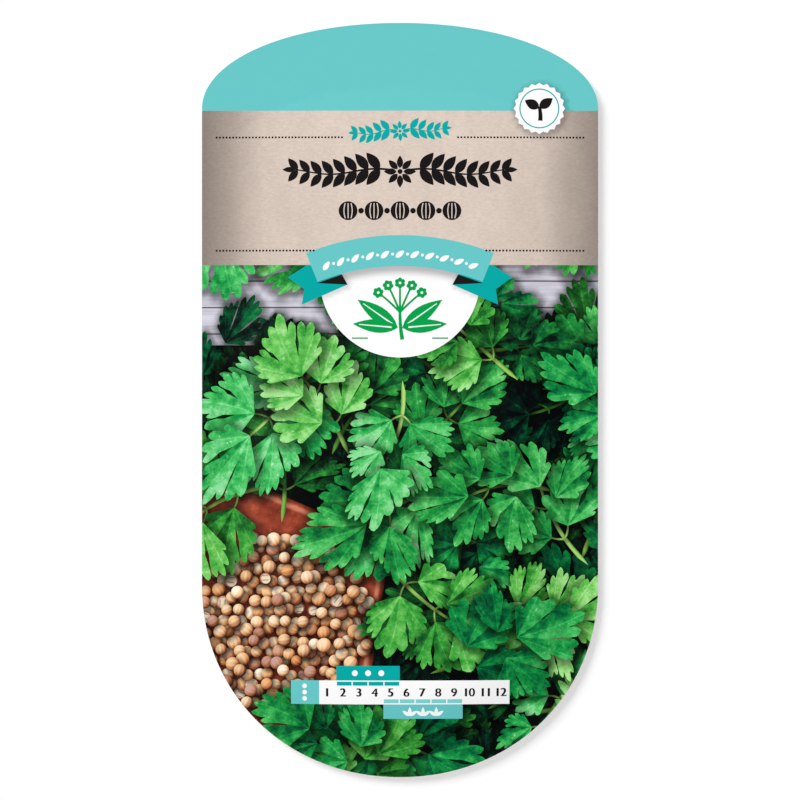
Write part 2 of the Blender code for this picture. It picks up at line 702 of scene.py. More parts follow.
@dataclass
class Patch:
    """One printed shape and where it stands in what it pictures.

    Attributes:
        outline: The shape's corners.
        ink: What it is printed with.
        origin: The point that is 0, 0 in the pictured thing.
        axes: The pictured thing's two unit steps, as rows. A stroke has its line instead.
        bend: How far the pictured thing's middle bows, as a share of its length.
        line: The middle line of a stroke.
        half_line: Half the stroke's width.
        tone: Three numbers that vary its colour.
        cast: How dark a soft shadow it casts on what is under it.
        reach: How far that shadow reaches, in millimetres.
        onto: The only ink that the shadow falls on, or None for all.
    """

    outline: Points
    ink: Ink
    origin: Points = field(default_factory=lambda: np.zeros(2))
    axes: Points = field(default_factory=lambda: np.eye(2))
    bend: float = 0.0
    line: Points | None = None
    half_line: float = 1.0
    tone: tuple[float, float, float] = (0.5, 0.5, 0.5)
    cast: float = 0.0
    reach: float = 1.0
    onto: Ink | None = None

    def local(self, points: Points) -> Points:
        """Say where points are in the pictured thing.

        Args:
            points: Points on the sheet.

        Returns:
            Each one's place along the thing and across it.
        """
        if self.line is None:
            place = (points - self.origin) @ np.linalg.inv(self.axes)
            place[:, 1] -= self.bend * place[:, 0] ** 2
            return place
        side = np.diff(self.line, axis=0)
        share, gap = nearest_on(points, self.line[:-1], side)
        far = np.sqrt((gap * gap).sum(axis=2))
        best = far.argmin(axis=1)
        rows = np.arange(len(points))
        sign = np.sign(side[best, 0] * gap[rows, best, 1] - side[best, 1] * gap[rows, best, 0])
        along = (best + share[rows, best]) / len(side)
        return np.stack([along, sign * far[rows, best] / self.half_line], axis=1)


@dataclass
class PrintPlan:
    """Everything printed on one side of a sheet, from the lowest shape to the highest.

    Attributes:
        form: The packet's form.
        patches: The shapes.
        grid: The step of the mesh where nothing is printed.
        longest: The longest side of a shape in the mesh, as a share of that step.
        light: The step from a shape's edge to its shadow's.
        epsilon: How near two points are when they become one.
        margin: How far the mesh's own points stay from lines.
        fill: The step of the points on lines that tell which lie within the margin.
    """

    form: PacketForm
    patches: list[Patch] = field(default_factory=list)
    grid: float = 0.9
    longest: float = 1.6
    light: tuple[float, float] = (-0.30, 0.38)
    epsilon: float = 0.004
    margin: float = 0.10
    fill: float = 0.3

    def add(self, outline: Points, ink: Ink, **more: object) -> None:
        """Print a shape over those before it."""
        self.patches.append(Patch(np.asarray(outline, float), ink, **more))

    def triangulate(
        self, points: Points, edges: list[tuple[int, int]], within: bool = False
    ) -> tuple[Points, Points]:
        """Split the plane into triangles that keep some edges.

        Args:
            points: The points to use.
            edges: Pairs of their numbers.
            within: Whether to keep only what the edges enclose.

        Returns:
            The points, with those where edges cross, and the triangles.
        """
        made = delaunay_2d_cdt([Vector(p) for p in points], edges, [], int(within), self.epsilon, False)
        return np.array([p[:] for p in made[0]]), np.array(made[2], int)

    def tops(self, middles: Points) -> np.ndarray:
        """Find the number of the highest patch over each point.

        Args:
            middles: The points.

        Returns:
            The patches' numbers.
        """
        found = np.zeros(len(middles), int)
        shelf = Shelf(middles)
        for number, patch in enumerate(self.patches):
            near = shelf.within(patch.outline)
            found[near[contains(patch.outline, middles[near])]] = number
        return found

    def visible_edges(self) -> tuple[Points, list[tuple[int, int]]]:
        """Find the lines between shapes that show, and the die-cut edge.

        Returns:
            The lines' points, and the pairs of their numbers.
        """
        points, edges = [], []
        count = 0
        for whole in [self.form.edge(), *[patch.outline for patch in self.patches]]:
            outline = split(whole, np.roll(whole, -1, axis=0), self.longest * self.grid)
            points.append(outline)
            edges += [(count + k, count + (k + 1) % len(outline)) for k in range(len(outline))]
            count += len(outline)
        corners, faces = self.triangulate(np.concatenate(points), edges)
        middles = corners[faces].mean(axis=1)
        top = np.where(contains(self.form.edge(), middles), self.tops(middles), -1)
        ends = np.concatenate([faces[:, [0, 1]], faces[:, [1, 2]], faces[:, [2, 0]]])
        owner = np.tile(top, 3)
        ends.sort(axis=1)
        unique, index = np.unique(ends, axis=0, return_inverse=True)
        index = index.reshape(-1)
        highest = np.full(len(unique), -2)
        lowest = np.full(len(unique), len(self.patches))
        np.maximum.at(highest, index, owner)
        np.minimum.at(lowest, index, owner)
        shown = unique[highest != lowest]
        used, renamed = np.unique(shown, return_inverse=True)
        return corners[used], [tuple(pair) for pair in renamed.reshape(-1, 2).tolist()]

    def grid_points(self, lines: Points, edges: list[tuple[int, int]], step: float) -> Points:
        """Spread points evenly over the sheet, clear of the lines.

        Args:
            lines: The lines' points.
            edges: The pairs of their numbers.
            step: How far apart the new points stand.

        Returns:
            The new points.
        """
        row_step = step * math.sqrt(3) / 2
        ys = np.arange(-self.form.half_length, self.form.half_length, row_step)
        spots = []
        for row, y in enumerate(ys):
            shift = step / 2 if row % 2 else 0.0
            xs = np.arange(-self.form.half_width + shift, self.form.half_width, step)
            spots.append(np.stack([xs, np.full_like(xs, y)], axis=1))
        spots = np.concatenate(spots)
        spots = spots[contains(self.form.edge(), spots)]
        start, end = lines[np.array(edges).T]
        filled = split(start, end, self.fill)
        cells = {tuple(cell) for cell in np.floor(filled / (2 * self.margin)).astype(int).tolist()}
        keep = [tuple(c) not in cells for c in np.floor(spots / (2 * self.margin)).astype(int).tolist()]
        return spots[np.array(keep)]

    def shade_of(self, points: Points, faces: Points, top: np.ndarray) -> np.ndarray:
        """Work out how deep in soft shadow each triangle's corner is.

        Args:
            points: The corners' places.
            faces: The triangles.
            top: Each triangle's patch.

        Returns:
            Three numbers for each triangle, from 0 to 1.
        """
        lit = np.ones(faces.size)
        corners = points[faces.reshape(-1)] + np.array(self.light)
        owner = np.repeat(top, 3)
        inks = np.array([patch.ink.value for patch in self.patches])[owner]
        shelf = Shelf(corners)
        for number, patch in enumerate(self.patches):
            if patch.cast:
                near = shelf.within(patch.outline, patch.reach)
                near = near[owner[near] < number]
                if patch.onto:
                    near = near[inks[near] == patch.onto.value]
                gap = distance_to(patch.outline, corners[near])
                lit[near] *= 1 - patch.cast * (1 - smooth(gap / patch.reach))
        return 1 - lit.reshape(-1, 3)


@dataclass(frozen=True)
class LeafCut:
    """The cut of a herb leaflet: a wedge base and lobes with blunt teeth.

    Attributes:
        lobes: How many lobes it has.
        spread: The angle between its two straight sides.
        taper: How fast it grows shorter towards its sides.
        arch: How much shorter a lobe is at its own sides than in its middle.
        slit: How deep the slits between lobes go, as a share of the reach.
        gap: Half of a slit's angle where it is widest.
        notch: How deep the notches between teeth go, as a share of the reach.
        tooth: A tooth's corners, each as its place across the tooth and its share of the reach.
    """

    lobes: int = 3
    spread: float = math.radians(146)
    taper: float = 0.5
    arch: float = 0.20
    slit: float = 0.60
    gap: float = math.radians(4.2)
    notch: float = 0.13
    tooth: tuple[tuple[float, float], ...] = (
        (-0.39, 0.93), (-0.17, 0.985), (0.05, 1.015), (0.26, 0.98), (0.42, 0.92),
    )

    def reach(self, angle: float, off: float) -> float:
        """Say how far the leaflet reaches at an angle that is off its lobe's middle by -1 to 1."""
        return math.cos(angle) ** self.taper * (1 - self.arch * off * off)

    def slit_corners(self, angle: float, draw: random.Random) -> list[tuple[float, float]]:
        """Cut the slit between two lobes.

        Args:
            angle: The angle of its middle.
            draw: The source of its small differences.

        Returns:
            Its corners, as angles and reaches.
        """
        mouth = self.reach(angle, 1.0)
        gap = self.gap * draw.uniform(0.3, 1.3)
        deep = mouth * (1 - self.slit * draw.uniform(0.75, 1.15))
        wide = (mouth + deep) / 2
        return [
            (angle - 0.3 * gap, 0.86 * mouth), (angle - gap, wide), (angle, deep),
            (angle + gap, wide), (angle + 0.3 * gap, 0.86 * mouth),
        ]

    def lobe_corners(self, start: float, draw: random.Random) -> list[tuple[float, float]]:
        """Cut the teeth of one lobe.

        Args:
            start: The angle where the lobe starts.
            draw: The source of its small differences.

        Returns:
            Their corners, as angles and reaches.
        """
        teeth = draw.choice((3, 4, 4, 5))
        width = self.spread / self.lobes / teeth
        corners = []
        for tooth in range(teeth):
            middle = start + (tooth + 0.5) * width
            reach = self.reach(middle, (2 * tooth + 1) / teeth - 1) * draw.uniform(0.94, 1.05)
            corners += [(middle + share * width, reach * height) for share, height in self.tooth]
            if tooth + 1 < teeth:
                corners.append((middle + width / 2, reach * (1 - self.notch * draw.uniform(0.7, 1.4))))
        return corners

    def outline(self, draw: random.Random) -> Points:
        """Draw one leaflet, with its base at 0, 0 and its tip at 1, 0.

        Args:
            draw: The source of its small differences.

        Returns:
            The outline's corners.
        """
        corners = [(-math.pi / 2, 0.02)]
        for lobe in range(self.lobes):
            start = lobe * self.spread / self.lobes - self.spread / 2
            if lobe:
                corners += self.slit_corners(start, draw)
            corners += self.lobe_corners(start, draw)
        corners.append((math.pi / 2, 0.02))
        angle, reach = np.array(corners).T
        return polar(reach, angle)


@dataclass(frozen=True)
class SprayLayer:
    """One layer of leafy sprays in the picture.

    Attributes:
        light: How bright its leaves are, from 0 to 1.
        step: How far apart its sprays stand, in millimetres.
        shortest: The length of its shortest stalk, in millimetres.
        clear: How far it keeps from the drift of seeds, where 1 is the drift's edge.
    """

    light: float
    step: float
    shortest: float
    clear: float


@dataclass
class LeafPicture:
    """The picture field: an all-over pattern of herb leaves with a drift of seeds on a clay tile.

    Attributes:
        plan: The plan that it is printed on.
        top: Its upper edge. Low and side are its other edges.
        cut: The cut of every leaflet.
        number: The number that all its random draws start from.
        squeeze: The least and the greatest width of a leaflet, as shares of its cut's.
        lean: How far at most a leaflet is sheared, and bend how far its middle bows.
        sway: How far at most a spray's stalk bows.
        blade: The least and the greatest size of a spray's leaflets, as shares of its stalk's length.
        branching: The least and the greatest angle between a spray and its side stalks, in degrees.
        main_stalk: The stalk's width at its foot and at its tip. A side stalk has side_stalk.
        low_leaf_step: How far apart the lowest leaves stand, and seed_step the seeds.
        plank_height: How far down the pale planks come.
        plank_light: How bright leaves are at least before the planks.
        openings: The places and sizes of the gaps between leaves where the planks show.
        tile: The clay tile's corners.
        drift: The middle of the drift of seeds, and drift_reach its reach.
        layers: The sprays, from the lowest to the highest.
    """

    plan: PrintPlan
    top: float = KRAFT_LOW
    low: float = -PAST_END
    side: float = PAST_SIDE
    cut: LeafCut = LeafCut()
    number: int = 23
    squeeze: tuple[float, float] = (0.62, 1.0)
    lean: float = 0.25
    bend: float = 0.28
    sway: float = 0.22
    blade: tuple[float, float] = (0.58, 0.74)
    branching: tuple[float, float] = (44.0, 72.0)
    main_stalk: tuple[float, float] = (1.05, 0.5)
    side_stalk: tuple[float, float] = (0.5, 0.35)
    low_leaf_step: float = 8.5
    seed_step: float = 2.2
    plank_height: float = 17.0
    plank_light: float = 0.42
    openings: tuple[tuple[float, float, float], ...] = ((-31.5, 23.0, 8.0), (33.0, 24.5, 7.0))
    tile: tuple[tuple[float, float], ...] = ((-2.0, -30.0), (-44.0, -12.0), (-44.0, -84.0), (-10.0, -84.0))
    drift: tuple[float, float] = (-25.0, -48.0)
    drift_reach: tuple[float, float] = (21.0, 21.0)
    layers: tuple[SprayLayer, ...] = (
        SprayLayer(0.21, 14.5, 11.0, 1.35),
        SprayLayer(0.43, 17.5, 14.0, 1.25),
        SprayLayer(0.67, 22.0, 17.0, 1.3),
    )

    def leaflet(
        self, draw: random.Random, base: Points, angle: float, length: float, light: float, warm: float
    ) -> Patch:
        """Draw one leaflet.

        Args:
            draw: The source of its small differences.
            base: Where it joins its stalk.
            angle: The way that it points.
            length: How long it is.
            light: How bright it is, from 0 to 1.
            warm: How yellow its green is, from 0 to 1.

        Returns:
            Its patch.
        """
        squeeze = draw.uniform(*self.squeeze)
        lean = draw.uniform(-self.lean, self.lean)
        bend = draw.uniform(-self.bend, self.bend)
        along = polar(1.0, angle)
        across = np.array([-along[1], along[0]])
        axes = np.array([along, across * squeeze + along * lean]) * length
        outline = self.cut.outline(draw)
        outline[:, 1] += bend * outline[:, 0] ** 2
        return Patch(
            outline @ axes + base, Ink.LEAF, origin=np.array(base), axes=axes, bend=bend,
            tone=(warm, light, angle % math.tau / math.tau), cast=0.72, reach=1.3 + 1.8 * light,
        )

    def stalk(self, line: Points, width: float, tip: float, light: float) -> Patch:
        """Draw one stalk along a line, with its foot drawn in as if it came from below.

        Args:
            line: The line.
            width: Its width at its foot.
            tip: Its width at its tip.
            light: How bright it is, from 0 to 1.

        Returns:
            Its patch.
        """
        outline = strip(line, width, tip)
        outline[[0, -1]] = line[0]
        return Patch(
            outline, Ink.STALK, line=line, half_line=width / 2, tone=(0.5, light, 0.5), cast=0.4, reach=0.9,
        )

    def spray(
        self, draw: random.Random, foot: Points, angle: float, length: float, light: float
    ) -> tuple[list[Patch], list[Patch]]:
        """Draw one compound leaf: a stalk with leaflets in pairs and one at its tip.

        Args:
            draw: The source of its small differences.
            foot: Where its stalk starts.
            angle: The way that it points.
            length: How long its stalk is.
            light: How bright it is, from 0 to 1.

        Returns:
            The patches of its stalks and of its leaflets.
        """
        foot = np.asarray(foot, float)
        tip = foot + polar(length, angle)
        line = bow(foot, tip, draw.uniform(-self.sway, self.sway))
        warm = draw.uniform(0.0, 1.0)
        blade = length * draw.uniform(*self.blade)
        stalks = [self.stalk(line, *self.main_stalk, light)]
        leaflets = []
        for place, share in ((3, 0.90), (6, 0.80)):
            for way in (-1, 1):
                turn = angle + way * math.radians(draw.uniform(*self.branching))
                start = line[place]
                end = start + polar(0.22 * blade, turn)
                stalks.append(self.stalk(bow(start, end, 0.12 * way, 5), *self.side_stalk, light))
                bright = min(1.0, max(0.0, light + draw.uniform(-0.2, 0.14)))
                own = blade * share * draw.uniform(0.85, 1.12)
                turn += way * draw.uniform(-0.35, 0.15)
                leaflets.append(self.leaflet(draw, end, turn, own, bright, warm))
        turn = angle + draw.uniform(-0.3, 0.3)
        leaflets.append(self.leaflet(draw, tip, turn, blade * 1.1, light, warm))
        return stalks, leaflets

    def spots(self, draw: random.Random, step: float) -> list[tuple[float, float]]:
        """Spread places over the field on a loose staggered grid.

        Args:
            draw: The source of its small differences.
            step: How far apart they stand.

        Returns:
            The places, in a random order.
        """
        found = []
        rows = math.ceil((self.top - self.low) / step) + 1
        columns = math.ceil(self.side / step)
        for row in range(rows):
            for column in range(-columns, columns + 1):
                x = (column + (0.5 if row % 2 else 0.0) + draw.uniform(-0.3, 0.3)) * step
                y = self.low + (row + draw.uniform(-0.3, 0.3)) * step
                found.append((x, y))
        draw.shuffle(found)
        return found

    def drift_depth(self, x: float, y: float) -> float:
        """Say how far out in the seeds' drift a place is: 0 in its middle and 1 at its edge."""
        across = (x - self.drift[0]) / self.drift_reach[0]
        up = (y - self.drift[1]) / self.drift_reach[1]
        return math.hypot(across, up)

    def in_opening(self, x: float, y: float, margin: float) -> bool:
        """Tell whether a place is in one of the gaps where the planks show."""
        return any(math.hypot(x - left, y - up) < reach + margin for left, up, reach in self.openings)

    def least_light(self, y: float) -> float:
        """Say how bright leaves are at least: more where they stand before the pale planks."""
        fade = 8.0
        planks_low = self.top - self.plank_height
        return self.plank_light * float(smooth((y - planks_low + fade / 2) / fade))

    def seeds(self, draw: random.Random) -> None:
        """Print the drift of seeds on the tile, closest in its middle."""
        spots = np.array(self.spots(draw, self.seed_step))
        for x, y in spots[contains(np.array(self.tile), spots)]:
            if self.drift_depth(x, y) > draw.uniform(0.78, 1.04):
                continue
            radius = draw.uniform(1.2, 1.55)
            tone = (draw.random(), draw.random(), draw.random())
            self.plan.add(
                ring(radius, 16, (x, y)), Ink.SEED, origin=np.array([x, y]),
                axes=np.eye(2) * radius, tone=tone, cast=0.78, reach=0.8,
            )

    def ground(self, draw: random.Random) -> None:
        """Print what lies under the sprays: deep shade, planks, low leaves and the clay tile.

        Args:
            draw: The source of its small differences.
        """
        planks_low = self.top - self.plank_height
        self.plan.add(block(-self.side, self.side, self.low, self.top), Ink.SHADE)
        self.plan.add(block(-self.side, self.side, planks_low, self.top), Ink.PLANK)
        for x, y in self.spots(draw, self.low_leaf_step):
            angle, length, light = draw.uniform(0, math.tau), draw.uniform(8, 13), draw.uniform(0.0, 0.2)
            if y < planks_low + 3.5:
                light = max(light, self.least_light(y))
                self.plan.patches.append(self.leaflet(draw, (x, y), angle, length, light, draw.random()))
        tile = np.array(self.tile)
        top_side, right_side = tile[1] - tile[0], tile[3] - tile[0]
        axes = np.array([top_side / np.linalg.norm(top_side), right_side / np.linalg.norm(right_side)])
        self.plan.add(tile, Ink.CLAY, origin=tile[0], axes=axes, cast=0.6, reach=2.4)

    def layer(self, draw: random.Random, kind: SprayLayer) -> None:
        """Print one layer of sprays, with its stalks under its leaflets.

        Args:
            draw: The source of its small differences.
            kind: The layer.
        """
        stalks, leaflets = [], []
        for x, y in self.spots(draw, kind.step):
            angle = draw.uniform(0, math.tau)
            length = draw.uniform(kind.shortest, kind.shortest + 6)
            middle = np.array([x, y]) + polar(0.7 * length, angle)
            bright = max(kind.light + draw.uniform(-0.1, 0.12), self.least_light(middle[1]))
            crowded = self.drift_depth(*middle) < kind.clear or self.drift_depth(x, y) < 0.8
            if not crowded and not self.in_opening(*middle, 0.4 * length):
                own_stalks, own_leaflets = self.spray(draw, (x, y), angle, length, bright)
                stalks += own_stalks
                leaflets += own_leaflets
        self.plan.patches += stalks + leaflets

    def build(self) -> None:
        """Print the whole field."""
        draw = random.Random(self.number)
        self.ground(draw)
        self.seeds(draw)
        for kind in self.layers:
            self.layer(draw, kind)


def almond(length: float, width: float, steps: int = 9) -> Points:
    """Make the outline of a plain pointed leaf from 0, 0 along x."""
    t = np.linspace(0, 1, steps)
    half = width / 2 * np.sin(math.pi * t**0.85) ** 0.9
    upper = np.column_stack([t * length, half])
    return np.concatenate([upper, (upper * (1, -1))[-2:0:-1]])


@dataclass
class FrontDesign:
    """What is printed on the front besides the picture, all of it without words."""

    plan: PrintPlan
    ribbon_middle: float = -18.86
    ribbon_outer: float = 53.8
    ribbon_inner: float = 47.25
    ribbon_angle: float = math.radians(21.7)
    mark_radius: float = 49.8
    disc_middle: float = 26.06
    disc_radius: float = 17.06
    boldness: float = 0.12
    hole_width: float = 0.78

    def arc(self, radius: float, start: float, end: float, steps: int = 24) -> Points:
        """Follow a circle about the ribbon's middle, where angle 0 is straight up."""
        angle = np.linspace(start, end, steps)
        return polar(radius, angle)[:, ::-1] + (0, self.ribbon_middle)

    def bands(self) -> None:
        """Print the kraft band and the turquoise head."""
        self.plan.add(block(-PAST_SIDE, PAST_SIDE, KRAFT_LOW, HEAD_LOW), Ink.KRAFT)
        self.plan.add(block(-PAST_SIDE, PAST_SIDE, HEAD_LOW, PAST_END), Ink.TURQUOISE)

    def medallion(self) -> None:
        """Print the white disc that hangs behind the ribbon, with a flower head in green."""
        edge = ring(self.disc_radius, 96, (0.0, self.disc_middle))
        middle = np.array([0.0, self.ribbon_middle])
        far = np.linalg.norm(edge - middle, axis=1, keepdims=True)
        hidden = (self.ribbon_outer + self.ribbon_inner) / 2
        edge = middle + (edge - middle) * np.minimum(1.0, hidden / far)
        self.plan.add(edge, Ink.WHITE, cast=0.15, reach=1.2)
        self.emblem()

    def emblem(self) -> None:
        """Print a flower head between two pairs of plain leaves, in green."""
        heart = np.array([0.0, 18.6])
        ray_reach, petal_reach = 6.2, 0.7
        for way in (-1, 1):
            for angle, length, width in ((35, 10.4, 3.3), (5, 9.6, 2.9)):
                foot = np.array([way * 0.45, 15.3])
                turn = math.radians(angle)
                leaf = turned(almond(length, width), turn) * (way, 1) + foot
                rib = turned(np.array([(length * 0.14, 0.0), (length * 0.86, 0.0)]), turn) * (way, 1) + foot
                self.plan.add(leaf, Ink.GREEN)
                self.plan.add(strip(rib, 0.32, 0.16), Ink.WHITE)
            self.plan.add(block(*sorted((way * 6.8, way * 10.2)), 12.95, 13.25), Ink.GREEN)
        self.plan.add(strip(bow((0.5, 12.8), heart, 0.05), 0.85, 0.6), Ink.GREEN)
        rays = 5
        for ray in range(rays):
            angle = math.radians(42 + 96 * ray / (rays - 1))
            tip = heart + polar(ray_reach, angle)
            self.plan.add(strip(bow(heart, tip, 0.05 * math.cos(angle)), 0.5, 0.4), Ink.GREEN)
            for petal in range(6):
                spot = tip + polar(petal_reach, angle + petal * math.pi / 3)
                self.plan.add(ring(0.47, 12, spot), Ink.GREEN)
            self.plan.add(ring(0.28, 10, tip), Ink.WHITE)

    def ribbon(self) -> None:
        """Print the arched ribbon with its folded swallow tails."""
        tail = np.array([
            (-19.6, 28.6), (-23.8, 26.0), (-20.3, 23.5), (-20.8, 20.2), (-11.1, 24.45), (-12.3, 26.6),
        ])
        fold = np.array([(-17.6, 24.75), (-12.3, 26.6), (-11.1, 24.45)])
        for way in (1, -1):
            self.plan.add(tail * (way, 1), Ink.DEEP_TEAL, cast=0.3, reach=0.9)
            self.plan.add(fold * (way, 1), Ink.FOLD)
        outer = self.arc(self.ribbon_outer, -self.ribbon_angle, self.ribbon_angle)
        inner = self.arc(self.ribbon_inner, self.ribbon_angle, -self.ribbon_angle)
        self.plan.add(np.concatenate([outer, inner]), Ink.TURQUOISE, cast=0.57, reach=2.1, onto=Ink.WHITE)
        marks, slant, filled_share = 21, math.radians(38), 0.84
        leaf = np.array([(-1.3, 0), (-0.6, 0.56), (0.35, 0.52), (1.3, 0), (0.35, -0.52), (-0.6, -0.56)])
        for mark in range(marks):
            angle = self.ribbon_angle * filled_share * (2 * mark / (marks - 1) - 1)
            spot = self.arc(self.mark_radius, angle, angle, 1)[0]
            if mark % 2:
                self.plan.add(ring(0.32, 12, spot), Ink.WHITE)
            else:
                self.plan.add(turned(rounded(leaf), slant - angle) + spot, Ink.WHITE)

    def badge(self) -> None:
        """Print the toothed white badge with a seedling in it."""
        middle = np.array([29.56, 61.85])
        teeth, valley, tip = 20, 4.98, 5.46
        turns = np.arange(teeth * 2) * math.pi / teeth
        reach = np.where(np.arange(teeth * 2) % 2, valley, tip)
        self.plan.add(polar(reach, turns) + middle, Ink.WHITE, cast=0.42, reach=1.2)
        for radius, ink in ((4.24, Ink.DEEP_TEAL), (3.98, Ink.WHITE)):
            self.plan.add(ring(radius, 64, middle), ink)
        self.plan.add(strip(bow(middle + (0.2, -2.6), middle + (0.0, 0.4), -0.08), 0.95, 0.7), Ink.BLACK)
        for way, turn in ((1, 36), (-1, 28)):
            leaf = turned(almond(3.5, 2.1), math.radians(turn))
            self.plan.add(leaf * (way, 1) + middle + (0, 0.1), Ink.BLACK)

    def garland(self, ink: Ink, middle: Points, half: float, blade: float, pairs: int, lean: float) -> None:
        """Print a garland: two leafy branches that grow outwards from a rosette.

        Args:
            ink: Its colour.
            middle: The rosette's middle.
            half: The reach of each branch.
            blade: The length of the longest leaves.
            pairs: How many pairs of leaves each branch has.
            lean: How steeply it climbs, in radians.
        """
        waves, swing, shrink, plumpness, opening = 1.25, 0.13, 0.28, 0.48, math.radians(50)
        for way in (-1, 1):
            xs = np.linspace(blade * 0.5, half - blade * 0.55, 41)
            line = np.stack([xs, blade * swing * np.sin(xs / half * math.tau * waves)], axis=1)
            shapes = [strip(line, blade * 0.10, blade * 0.06)]
            for pair in range(pairs):
                place = round(4 + (len(line) - 6) * pair / (pairs - 1))
                length = blade * (1 - shrink * pair / (pairs - 1))
                for side in (-1, 1):
                    leaf = turned(almond(length, length * plumpness), side * opening)
                    shapes.append(leaf + line[place])
            shapes.append(almond(blade * 0.62, blade * 0.26) + line[-1])
            for shape in shapes:
                self.plan.add(turned(shape * (way, 1), lean) + middle, ink)
        for petal in range(8):
            shape = turned(almond(blade * 0.60, blade * 0.30) + (blade * 0.16, 0), petal * math.pi / 4)
            self.plan.add(turned(shape, lean) + middle, ink)
        self.plan.add(ring(blade * 0.12, 16, middle), ink)

    def titles(self) -> None:
        """Print leaf garlands and a row of seeds where a packet has its names."""
        self.garland(Ink.DEEP_TEAL, np.array([0.0, 57.0]), 10.8, 2.9, 5, math.radians(3))
        self.garland(Ink.BLACK, np.array([0.0, 48.4]), 24.6, 4.5, 8, 0.0)
        big, small, step, height = 2.0, 0.6, 2.75, 40.1
        for number in range(-4, 5):
            x = step * number
            self.plan.add(ring(small if number % 2 else big, 28, (x, height)), Ink.BLACK)
            if number % 2:
                continue
            for rib in (-1, 0, 1):
                foot, tip = (x + 0.6 * rib, height - 0.8 * big), (x + 0.6 * rib, height + 0.8 * big)
                self.plan.add(strip(bow(foot, tip, -0.17 * rib), 0.22, 0.22), Ink.KRAFT)

    def calendar(self) -> None:
        """Print the strip of twelve numbered months with its sowing and harvest bars."""
        left, first, right = -23.1, -17.1, 23.2
        low, high = -64.4, -59.3
        middle = (low + high) / 2
        cell = (right - first) / 12
        digit, bar = 1.75, 3.1
        self.plan.add(block(left, right, low, high), Ink.WHITE)
        self.plan.add(block(left, first, low, high), Ink.TURQUOISE)
        for month in range(12):
            self.number(str(month + 1), (first + cell * (month + 0.5), middle), digit)
        self.bar(first + cell * 1.08, 4, high, bar, (Ink.DEEP_TEAL, Ink.DEEP_TEAL), cell)
        self.bar(first + cell * 4.04, 5, low, -bar, (Ink.TURQUOISE, Ink.PALE_TEAL), cell)
        for row in (-1, 0, 1):
            self.plan.add(ring(0.5, 16, (-20.2, middle + row * 1.35)), Ink.WHITE)

    def bar(
        self, left: float, months: int, edge: float, height: float, inks: tuple[Ink, Ink], cell: float
    ) -> None:
        """Print one bar of the calendar: its box, its month marks and its picture sign.

        Args:
            left: Its left end.
            months: How many months it covers.
            edge: The strip's edge that it stands on.
            height: Its height, which is negative below the strip.
            inks: The colours of its box and of its month marks.
            cell: The width of a month.
        """
        gap, mark_near, mark_far, sign_step = 0.12, 0.25, 1.1, 2.8
        right = left + months * cell
        way = 1 if height > 0 else -1
        self.plan.add(block(left, right, *sorted((edge, edge + height))), inks[0])
        mark = sorted((edge - way * mark_near, edge - way * mark_far))
        for month in range(months):
            start = left + month * cell
            self.plan.add(block(start + gap, start + cell - gap, *mark), inks[1])
        for place in (-1, 0, 1):
            spot = np.array([(left + right) / 2 + place * sign_step, edge + height / 2])
            if way > 0:
                self.plan.add(ring(0.62, 20, spot), Ink.WHITE)
                continue
            for lean in (35, 90, 145):
                leaf = turned(almond(1.9, 0.75), math.radians(lean))
                self.plan.add(leaf + spot - (0, 0.9), Ink.WHITE)

    def number(self, word: str, middle: tuple[float, float], height: float) -> None:
        """Print a plain number.

        Args:
            word: Its digits.
            middle: Where it is centred.
            height: How tall its digits are.
        """
        curve = bpy.data.curves.new("digits", "FONT")
        curve.body = word
        text = new_object("digits", curve)
        graph = bpy.context.evaluated_depsgraph_get()
        mesh = bpy.data.meshes.new_from_object(text.evaluated_get(graph))
        loops = boundary_loops(mesh)
        bpy.data.objects.remove(text)
        corners = np.concatenate(loops)
        low, high = corners.min(axis=0), corners.max(axis=0)
        scale = height / (high[1] - low[1])
        shapes = [(loop - (low + high) / 2) * scale + middle for loop in loops]
        holes = [
            any(contains(other, shape[:1])[0] for other in shapes if other is not shape) for shape in shapes
        ]
        for shape, hole in zip(shapes, holes):
            if not hole:
                self.plan.add(shape - (self.boldness, 0), Ink.BLACK)
                self.plan.add(shape + (self.boldness, 0), Ink.BLACK)
        for shape, hole in zip(shapes, holes):
            if hole:
                heart = shape.mean(axis=0)
                self.plan.add((shape - heart) * (self.hole_width, 1.0) + heart, Ink.WHITE)

    def build(self) -> None:
        """Print it all."""
        self.bands()
        self.medallion()
        self.ribbon()
        self.titles()
        self.badge()
        self.calendar()


def boundary_loops(mesh: bpy.types.Mesh) -> list[Points]:
    """Follow a flat mesh's open edges.

    Args:
        mesh: The mesh.

    Returns:
        The corners of each closed loop.
    """
    bm = bmesh.new()
    bm.from_mesh(mesh)
    bmesh.ops.remove_doubles(bm, verts=bm.verts, dist=1e-5)
    bm.verts.index_update()
    after = {}
    for edge in bm.edges:
        if len(edge.link_faces) == 1:
            loop = edge.link_loops[0]
            after[loop.vert.index] = (loop.link_loop_next.vert.index, loop.vert.co.xy[:])
    bm.free()
    loops = []
    while after:
        corners, step = [], next(iter(after))
        while step in after:
            step, corner = after.pop(step)
            corners.append(corner)
        loops.append(np.array(corners))
    return loops


